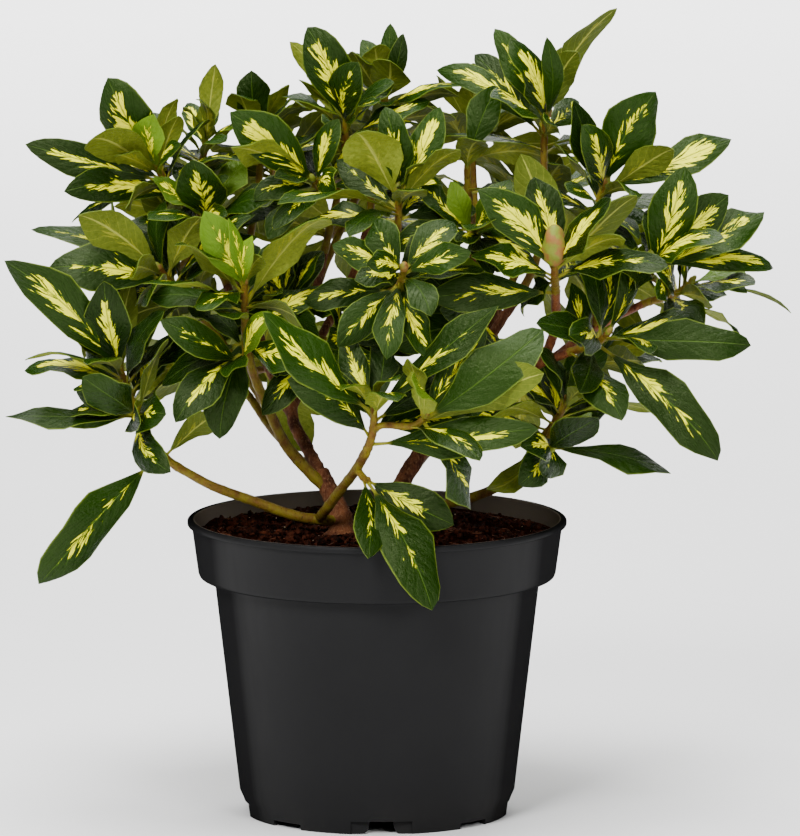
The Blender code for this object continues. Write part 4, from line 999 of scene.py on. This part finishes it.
twigs = {mass.name: grow_twigs(mass) for mass in MASSES}
work = bmesh.new()
for mass in MASSES:
    for route, thick in twigs[mass.name]:
        count = len(route) - 1
        radii = []
        for number in range(len(route)):
            scar = 0.16 * max(0.0, math.sin(number * 1.9)) ** 4
            taper = thick + (TWIG_END - thick) * number / count
            radii.append(taper * (1 + scar) * (0.92 if number == count else 1))
        tube(work, route, radii, TWIG_SIDES)
bmesh.ops.recalc_face_normals(work, faces=work.faces[:])
shoot_bark = bark_material("shoot_bark", (0.10, 0.040, 0.003), (0.19, 0.155, 0.005),
                           (0.20, 0.055, 0.010), 0.5, 0.55)
twig_piece = make_piece("leafy_shoots", work, shoot_bark, GREEN_BARK)
smooth_faces(twig_piece.data, 60)

work = bmesh.new()
for mass in MASSES:
    for shoot in mass.shoots:
        if shoot.bud:
            add_bud(work, Vector(shoot.tip), Vector(shoot.look).normalized(), shoot.bud)
bud_skin, tree, shader = new_material("bud_scales")
paint_mottled(tree, shader, 130.0, 0.42, 0.62, (0.15, 0.18, 0.016), (0.22, 0.105, 0.026))
shader.inputs["Roughness"].default_value = 0.5
shader.inputs["Specular IOR Level"].default_value = 0.2
bumped(tree, shader, grain(tree, object_place(tree), 500.0, 4.0), 0.5, 0.0012)
buds = make_piece("pointed_buds", work, bud_skin, "leaf_green")
smooth_faces(buds.data, 60)


# The leaves are leathery, in spirals round the shoots' ends: deep glossy green above with
# torn yellow splashes along the midrib, and matt olive below with a pale midrib.
TURN = math.radians(137.5)
LEAF_SEED = 23
ROSETTE = 20.0
PETIOLE = 0.13
STALK_WIDTH = 1.7
LEAF_THICK = 0.45
LEAF_BEND = 24.0
LEAF_CURL = 48.0
LEAF_TWIST = 36.0
SWAY = 0.06
GROOVE = (0.06, 0.42)
WAVE = (0.06, 0.40)
RIPPLES = 1.7
EDGE_WAVES = 2.1
LEAF_SLIM = (0.35, 0.42)
WIDEST = 1.2
FULLNESS = 0.74
UNEVEN = 0.4
OFF_BEAT = 1.3
GROOVE_EASE = 1.25
MIDRIB_HIGH = 0.9
MIDRIB_WIDE = 0.14
CURVE_STEPS = 61
ELBOW_ROOM = 34.0
CROWN_MIDDLE = Vector((8.0, 22.0, 0.0))
FRONT = Vector((0.0, -1.0, 0.0))
FACE_OUT = 0.9
FACE_FRONT = 1.6
TURNED_OVER = 0.17
UNSPLASHED = 0.36
SPLASHES = (0.25, 1.0)
LOW_PITCH = 98
PITCH_LOSS = 58
PITCH_SLACK = 8
TURN_SLACK = 0.2
LOW_LENGTH = 1.04
LENGTH_LOSS = 0.34
LENGTHS = (0.92, 1.08)
TOP_DROP = 1.5
BENDS = (-8, 14)
OLDEST = 0.15
LEAF_SHARE = 2.6
ACROSS = 4
ALONG = 11
SHEET_COLUMNS = 12
SHEET_ROWS = 6
Leaf = namedtuple("Leaf", "base tip up width bend curl twist sway groove wave start tone age "
                  "splash")


# How a leaf is dressed: the share of yellow, its youth, and how far its upper face is
# turned to the front, where a leaf that shows its underside is turned away
DRESS = {
    "plain": (0.0, 0.2, 1.0), "fleck": (0.28, 0.25, 1.0), "streak": (0.56, 0.3, 1.0),
    "splash": (0.84, 0.35, 1.0), "bright": (1.0, 0.4, 1.0), "lime": (0.5, 0.95, 1.0),
    "edge": (0.0, 0.2, 0.06), "under": (0.3, 0.6, -1.0), "under_edge": (0.2, 0.3, -0.3),
}


def leaf_pattern():
    """One flat leaf, closed, with its upper and under side, that every leaf is shaped from."""
    work = bmesh.new()
    bmesh.ops.create_grid(work, x_segments=ACROSS, y_segments=ALONG, size=1.0)
    for corner in work.verts:
        even = (corner.co.y + 1) / 2
        corner.co.y = 0.4 * even + 0.6 * (1 - math.cos(math.pi * even)) / 2
    pushed = bmesh.ops.extrude_face_region(work, geom=work.faces[:])
    low = [part for part in pushed["geom"] if isinstance(part, bmesh.types.BMVert)]
    bmesh.ops.translate(work, vec=(0, 0, -1), verts=low)
    bmesh.ops.recalc_face_normals(work, faces=work.faces[:])
    blade = work.loops.layers.uv.new("blade")
    kind = work.loops.layers.uv.new("kind")
    mark = work.loops.layers.uv.new("mark")
    sheet = work.loops.layers.uv.new("OFBake")
    for face in work.faces:
        under = face.calc_center_median().z < -0.75
        rim = abs(face.normal.z) < 0.5
        for loop in face.loops:
            across = loop.vert.co.x / 2 + 0.5
            loop[blade].uv = (across, loop.vert.co.y)
            loop[kind].uv = (0, 0)
            loop[mark].uv = (0, 1 if under else 0)
            shift = -loop.vert.co.z * 0.02 if rim else 0.0
            loop[sheet].uv = ((across * 0.44 + 0.5 * under + shift * (1 - 2 * (across > 0.5))
                               + 0.03), loop.vert.co.y * 0.96 + 0.02)
    mesh = bpy.data.meshes.new("leaf_pattern")
    work.to_mesh(mesh)
    work.free()
    mesh.shade_smooth()
    mesh.set_sharp_from_angle(angle=math.radians(60))
    return mesh


pattern = leaf_pattern()
flat = np.array([tuple(corner.co) for corner in pattern.vertices])
across, along, layer = flat[:, 0], flat[:, 1], -flat[:, 2]
pattern_layers = {}
for name in ("blade", "kind", "mark", "OFBake"):
    values = np.zeros(len(pattern.loops) * 2)
    pattern.uv_layers[name].data.foreach_get("uv", values)
    pattern_layers[name] = values.reshape(-1, 2)
upper_faces = [tuple(face.vertices) for face in pattern.polygons
               if all(layer[corner] < 0.5 for corner in face.vertices)]
blade_faces = [face for face in upper_faces if min(along[corner] for corner in face) > 0.2]


def leaf_points(leaf):
    """Where the points of the flat pattern come to lie on one leaf."""
    chord = leaf.tip - leaf.base
    reach = chord.length
    ahead = chord.normalized()
    side = np.array(ahead.cross(leaf.up))
    ahead, upper = np.array(ahead), np.array(leaf.up)
    steps = np.linspace(0, 1, CURVE_STEPS)
    slope = math.radians(leaf.bend) * (0.5 - steps) - math.radians(leaf.curl) * steps ** 3
    run = np.concatenate([[0], np.cumsum(np.cos(slope[1:]))])
    rise = np.concatenate([[0], np.cumsum(np.sin(slope[1:]))])
    lean = math.atan2(rise[-1], run[-1])
    size = reach / math.hypot(run[-1], rise[-1])
    line_run = (run * math.cos(lean) + rise * math.sin(lean)) * size
    line_rise = (rise * math.cos(lean) - run * math.sin(lean)) * size
    angle = np.interp(along, steps, slope) - lean
    x = np.clip((along - PETIOLE) / (1 - PETIOLE), 0, 1)
    stalk = STALK_WIDTH / 2 * np.where(x > 0, (1 - x) ** 2, 1 + 0.5 * (1 - along / PETIOLE))
    uneven = 1 + UNEVEN * leaf.wave * np.sin(2 * np.pi * (EDGE_WAVES * along - leaf.start)
                                             + np.sign(across))
    blade = leaf.width / 2 * np.sin(np.pi * x ** WIDEST) ** FULLNESS * uneven
    half = np.maximum(blade, stalk)
    ripple = np.sin(2 * np.pi * (leaf.start + RIPPLES * along) + OFF_BEAT * np.sign(across))
    height = half * (leaf.groove * np.abs(across) - leaf.groove * GROOVE_EASE * across ** 2
                     + leaf.wave * ripple * across ** 2 * (x > 0))
    midrib = MIDRIB_HIGH * np.exp(-(across / MIDRIB_WIDE) ** 2) * (1 - x) + LEAF_THICK
    height = height - layer * midrib
    turn = math.radians(leaf.twist) * along
    place = np.array(leaf.base) + np.outer(np.interp(along, steps, line_run), ahead)
    place = place + np.outer(np.interp(along, steps, line_rise), upper)
    normal = np.outer(np.cos(angle), upper) - np.outer(np.sin(angle), ahead)
    place = place + np.outer(leaf.sway * reach * np.sin(np.pi * along), side)
    flank = np.outer(np.cos(turn), side) + normal * np.sin(turn)[:, None]
    lift = normal * np.cos(turn)[:, None] - np.outer(np.sin(turn), side)
    return place + flank * (half * across)[:, None] + lift * height[:, None]


def upper_side(chord, look, out, share):
    """A leaf's upper face looks up its shoot and, on leaves that point sideways, out."""
    face = look + out * share * (1 - abs(chord.dot(out)))
    side = chord.cross(face)
    if side.length < 0.05:
        side = chord.cross(out)
    return side.cross(chord).normalized()


def outward(place):
    """The level way out of the crown at a place."""
    way = place - CROWN_MIDDLE
    way.z = 0
    return way.normalized()


def grown(base, tip, up, width, bend, age, splash, draw):
    """A leaf with its own small bends and tone."""
    return Leaf(base, tip, up, width, bend, draw.uniform(0, LEAF_CURL),
                draw.uniform(-LEAF_TWIST, LEAF_TWIST), draw.uniform(-SWAY, SWAY),
                draw.uniform(*GROOVE), draw.uniform(*WAVE), draw.random(), draw.random(), age,
                splash)


def held_leaf(row, route, look, draw):
    """A leaf that stands out of the crown, from its tip, width, drop and dress."""
    x, y, z, width, drop, dress = row
    splash, age, facing = DRESS[dress]
    base = along_twig(route, drop)
    tip = Vector((x, y, z))
    up = upper_side((tip - base).normalized(), look, FRONT, FACE_FRONT * facing)
    return grown(base, tip, up, width, LEAF_BEND, age, splash, draw)


def ruled_leaf(shoot, route, look, number, count, draw):
    """One leaf of the spiral: low leaves are long and spread, the top ones short."""
    rank = number / max(count - 1, 1)
    around = number * TURN + draw.uniform(-TURN_SLACK, TURN_SLACK)
    pitch = LOW_PITCH - PITCH_LOSS * rank + draw.uniform(-PITCH_SLACK, PITCH_SLACK)
    length = shoot.length * (LOW_LENGTH - LENGTH_LOSS * rank) * draw.uniform(*LENGTHS)
    base = along_twig(route, ROSETTE * (1 - rank) + TOP_DROP)
    across = look.orthogonal().normalized()
    spread = Matrix.Rotation(around, 3, look) @ across
    pitch = math.radians(pitch)
    chord = look * math.cos(pitch) + spread * math.sin(pitch)
    tip = base + chord * length
    width = length * draw.uniform(*LEAF_SLIM)
    facing = -FACE_OUT if draw.random() < TURNED_OVER else FACE_OUT
    up = upper_side(chord, look, outward(base), facing)
    bend = LEAF_BEND + draw.uniform(*BENDS)
    splash = 0.0 if draw.random() < UNSPLASHED else draw.uniform(*SPLASHES)
    age = OLDEST + (1 - OLDEST) * rank * draw.random()
    return grown(base, tip, up, width, bend, age, splash, draw), facing


# A leaf that hits another is swung round its shoot by these angles in turn, and shrinks with
# the angle
SWINGS = [0, 12, -12, 24, -24, 36, -36, 50, -50]
SWING_LOSS = 240


def turned_leaf(leaf, look, facing, swing):
    """The same leaf swung round its shoot, to find room beside its neighbours."""
    shrink = 1 - abs(swing) / SWING_LOSS
    chord = Matrix.Rotation(math.radians(swing), 3, look) @ (leaf.tip - leaf.base) * shrink
    up = upper_side(chord.normalized(), look, outward(leaf.base), facing)
    return leaf._replace(tip=leaf.base + chord, width=leaf.width * shrink, up=up)


class Space:
    """What already stands in the crown, for testing whether a new leaf is clear."""

    def __init__(self):
        self.lows = []
        self.highs = []
        self.trees = []

    def add(self, points, faces):
        self.lows.append(points.min(axis=0))
        self.highs.append(points.max(axis=0))
        self.trees.append(BVHTree.FromPolygons(points.tolist(), faces))

    def hits(self, points, faces):
        near = np.all(np.array(self.lows) <= points.max(axis=0), axis=1)
        near &= np.all(np.array(self.highs) >= points.min(axis=0), axis=1)
        tree = BVHTree.FromPolygons(points.tolist(), faces)
        return any(tree.overlap(self.trees[number]) for number in np.nonzero(near)[0])


def in_own_space(leaf, mass):
    """A leaf keeps nearer to its own mass's shoots than to any other's."""
    own = min((leaf.tip - Vector(shoot.tip)).length for shoot in mass.shoots)
    other = min((leaf.tip - Vector(shoot.tip)).length
                for others in MASSES if others is not mass for shoot in others.shoots)
    return own < other + ELBOW_ROOM


# Round gaps where sky shows between the leaves, on the picture plane: across, up, radius
SKY_GAPS = [
    (-216, 283, 12), (-198, 284, 7), (-192, 258, 7), (-213, 254, 8), (-217, 230, 7),
    (-198, 228, 7), (-177, 219, 12), (-159, 206, 7), (-134, 189, 12), (-149, 438, 5),
    (-137, 432, 5), (-122, 431, 5), (-90, 428, 5), (-81, 438, 5), (-178, 383, 5), (-192, 363, 6),
    (23, 448, 7), (15, 461, 4), (126, 436, 5), (129, 417, 5), (59, 386, 8), (38, 402, 4),
    (80, 316, 7), (90, 303, 5), (79, 291, 5), (93, 295, 5), (108, 284, 5), (-131, 292, 4),
    (159, 256, 7), (142, 230, 8), (154, 234, 5), (129, 222, 6), (105, 201, 8), (128, 201, 7),
    (-68, 219, 10), (-86, 222, 5), (-22, 237, 5), (-12, 231, 4), (7, 228, 5), (-28, 321, 4),
    (-131, 245, 5), (198, 273, 6), (218, 270, 8), (229, 319, 3),
    (-13, 215, 8), (-2, 222, 5),
]


def open_to_sky(points):
    """Whether a leaf leaves the gaps open that the camera sees the sky through."""
    up = points[:, 2] * math.cos(CAMERA_TILT) + points[:, 1] * math.sin(CAMERA_TILT)
    return not any(np.any((points[:, 0] - x) ** 2 + (up - y) ** 2 < radius ** 2)
                   for x, y, radius in SKY_GAPS)


def mesh_shape(item):
    points = np.array([tuple(corner.co / MM) for corner in item.data.vertices])
    return points, [tuple(face.vertices) for face in item.data.polygons]


space = Space()
for item in (pot, twig_piece, buds):
    space.add(*mesh_shape(item))
for bark in BARKS:
    space.add(*mesh_shape(bpy.data.objects[f"{bark}_limbs"]))
draw = random.Random(LEAF_SEED)
leaves = {mass.name: [] for mass in MASSES}
for mass in MASSES:
    for shoot, (route, _) in zip(mass.shoots, twigs[mass.name]):
        look = Vector(shoot.look).normalized()
        for row in shoot.held:
            leaf = held_leaf(row, route, look, draw)
            leaves[mass.name].append(leaf)
            space.add(leaf_points(leaf), blade_faces)
for mass in MASSES:
    for shoot, (route, _) in zip(mass.shoots, twigs[mass.name]):
        look = Vector(shoot.look).normalized()
        count = max(round(shoot.leaves * LEAF_SHARE) - len(shoot.held), shoot.leaves)
        for number in range(count):
            first, facing = ruled_leaf(shoot, route, look, number, count, draw)
            for swing in SWINGS:
                leaf = turned_leaf(first, look, facing, swing)
                points = leaf_points(leaf)
                roomy = in_own_space(leaf, mass) and open_to_sky(points)
                if roomy and not space.hits(points, blade_faces):
                    leaves[mass.name].append(leaf)
                    space.add(points, blade_faces)
                    break


def leaf_map(tree, name):
    """Both numbers that a leaf's UV map of this name holds."""
    parts = node(tree, "SeparateXYZ", [(0, node(tree, "UVMap", uv_map=name).outputs[0])])
    return parts.outputs[0], parts.outputs[1]


def over_leaf(tree, marks_along, marks_across, start, detail, roughness):
    """Noise laid over a leaf by its own two directions, different on every leaf."""
    where = node(tree, "CombineXYZ", [(0, marks_along), (1, marks_across), (2, start)])
    return grain(tree, where.outputs[0], 1.0, detail, roughness)


foliage, tree, shader = new_material("variegated_leaf")
edge_to_edge, up_leaf = leaf_map(tree, "blade")
tone, age = leaf_map(tree, "kind")
splash, under = leaf_map(tree, "mark")
off_middle = minus(tree, times(tree, edge_to_edge, 2.0), 1.0)
away = maths(tree, "ABSOLUTE", off_middle)
vein_line = minus(tree, up_leaf, times(tree, away, 0.22))
flame = minus(tree, up_leaf, times(tree, away, 0.42))
seed = times(tree, tone, 61.0)

# The splash: torn streaks that fan out from the midrib, widest near a leaf's middle
torn = over_leaf(tree, times(tree, flame, 13.0), times(tree, off_middle, 2.0), seed, 3.5, 0.65)
torn = maths(tree, "MULTIPLY_ADD", torn, 1.95, -0.475)
patch = over_leaf(tree, times(tree, up_leaf, 2.6), times(tree, off_middle, 0.9),
                  plus(tree, seed, 9.0), 1.0, 0.5)
specks = over_leaf(tree, times(tree, flame, 30.0), times(tree, off_middle, 5.0), seed, 3.0, 0.7)
from_centre = minus(tree, up_leaf, maths(tree, "MULTIPLY_ADD", tone, 0.3, 0.32))
inner = minus(tree, times(tree, splash, 0.36), times(tree, away, 0.86))
inner = plus(tree, inner, times(tree, minus(tree, patch, 0.5), 0.8))
inner = minus(tree, inner, times(tree, times(tree, from_centre, from_centre), 0.9))
ends = times(tree, ramp(tree, up_leaf, 0.10, 0.26), ramp(tree, up_leaf, 0.97, 0.80))
value = times(tree, plus(tree, torn, inner), ends)
value = times(tree, value, ramp(tree, splash, 0.02, 0.2))
yellow = times(tree, ramp(tree, value, 0.565, 0.60), ramp(tree, specks, 0.64, 0.58))
paler = ramp(tree, value, 0.49, 0.57)

# The upper side, its veins and its pale edge
ribs = maths(tree, "ABSOLUTE", maths(tree, "SINE", times(tree, vein_line, 30.0)))
rib = times(tree, ramp(tree, ribs, 0.16, 0.0), ramp(tree, away, 0.03, 0.14))
midrib = ramp(tree, away, 0.045, 0.015)
edge = ramp(tree, away, 0.93, 0.985)
deep = blend_colours(tree, tone, (0.0024, 0.0090, 0.0005), (0.0082, 0.027, 0.0010))
fresh = blend_colours(tree, tone, (0.080, 0.17, 0.006), (0.17, 0.28, 0.008))
cream = blend_colours(tree, patch, (0.84, 0.74, 0.0), (0.90, 0.93, 0.008))
top = blend_colours(tree, ramp(tree, age, 0.62, 1.0), deep, fresh)
top = blend_colours(tree, times(tree, paler, 0.75), top, (0.050, 0.115, 0.005))
top = blend_colours(tree, times(tree, rib, 0.14), top, (0.028, 0.075, 0.005))
top = blend_colours(tree, times(tree, specks, 0.18), top, (0.022, 0.055, 0.005))
top = blend_colours(tree, yellow, top, cream)
top = blend_colours(tree, times(tree, midrib, 0.6), top, (0.055, 0.11, 0.010))
top = blend_colours(tree, times(tree, edge, 0.6), top, (0.15, 0.21, 0.018))

# The underside, webbed with fine veins, and the stalk
webbed = ramp(tree, grain(tree, object_place(tree), 420.0, 4.0, 0.6), 0.70, 0.30, 0.0, 0.5)
olive = blend_colours(tree, tone, (0.062, 0.085, 0.009), (0.225, 0.265, 0.024))
olive = blend_colours(tree, webbed, olive, (0.055, 0.085, 0.006))
olive = blend_colours(tree, times(tree, yellow, 0.45), olive, (0.42, 0.40, 0.03))
olive = blend_colours(tree, times(tree, rib, 0.4), olive, (0.30, 0.32, 0.035))
olive = blend_colours(tree, ramp(tree, away, 0.08, 0.03, 0.0, 0.8), olive, (0.40, 0.42, 0.07))
leaf_colour = blend_colours(tree, under, top, olive)
leaf_colour = blend_colours(tree, ramp(tree, up_leaf, 0.16, 0.10), leaf_colour,
                            (0.23, 0.22, 0.020))
tree.links.new(leaf_colour, shader.inputs["Base Color"])

gloss = plus(tree, ramp(tree, specks, 0.3, 0.7, 0.21, 0.37), times(tree, yellow, 0.08))
gloss = plus(tree, gloss, times(tree, under, 0.26))
tree.links.new(gloss, shader.inputs["Roughness"])
turned_away = node(tree, "LayerWeight", [("Blend", 0.5)]).outputs["Facing"]
shader.inputs["Specular IOR Level"].default_value = 0.16
tree.links.new(ramp(tree, turned_away, 0.4, 0.9, 0.18, 0.05),
               shader.inputs["Specular IOR Level"])
shader.inputs["Specular Tint"].default_value = (0.85, 1.0, 0.50, 1.0)
pucker = grain(tree, object_place(tree), 480.0, 4.0, 0.6)
swell = minus(tree, times(tree, ribs, 0.28), times(tree, midrib, 0.8))
swell = plus(tree, swell, times(tree, specks, 0.5))
swell = plus(tree, swell, times(tree, pucker, 1.2))
bumped(tree, shader, swell, 0.6, 0.0009)


def leaf_piece(mass):
    """All the leaves of one mass in one piece, each with its own place on the baked sheet."""
    work = bmesh.new()
    for number, leaf in enumerate(leaves[mass.name]):
        pattern.vertices.foreach_set("co", (leaf_points(leaf) * MM).ravel())
        column, row = number % SHEET_COLUMNS, number // SHEET_COLUMNS
        kinds = np.tile((leaf.tone, leaf.age), len(pattern.loops))
        marks = pattern_layers["mark"] + np.array((leaf.splash, 0))
        sheet = pattern_layers["OFBake"] + np.array((column, row))
        sheet = sheet / np.array((SHEET_COLUMNS, SHEET_ROWS))
        pattern.uv_layers["kind"].data.foreach_set("uv", kinds)
        pattern.uv_layers["mark"].data.foreach_set("uv", marks.ravel())
        pattern.uv_layers["OFBake"].data.foreach_set("uv", sheet.ravel())
        pattern.update()
        work.from_mesh(pattern)
    name = mass.name.replace("foliage", "leaves")
    piece = make_piece(name, work, foliage, "leaf_green")
    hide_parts(mass.name)


for mass in MASSES:
    leaf_piece(mass)
bpy.data.meshes.remove(pattern)
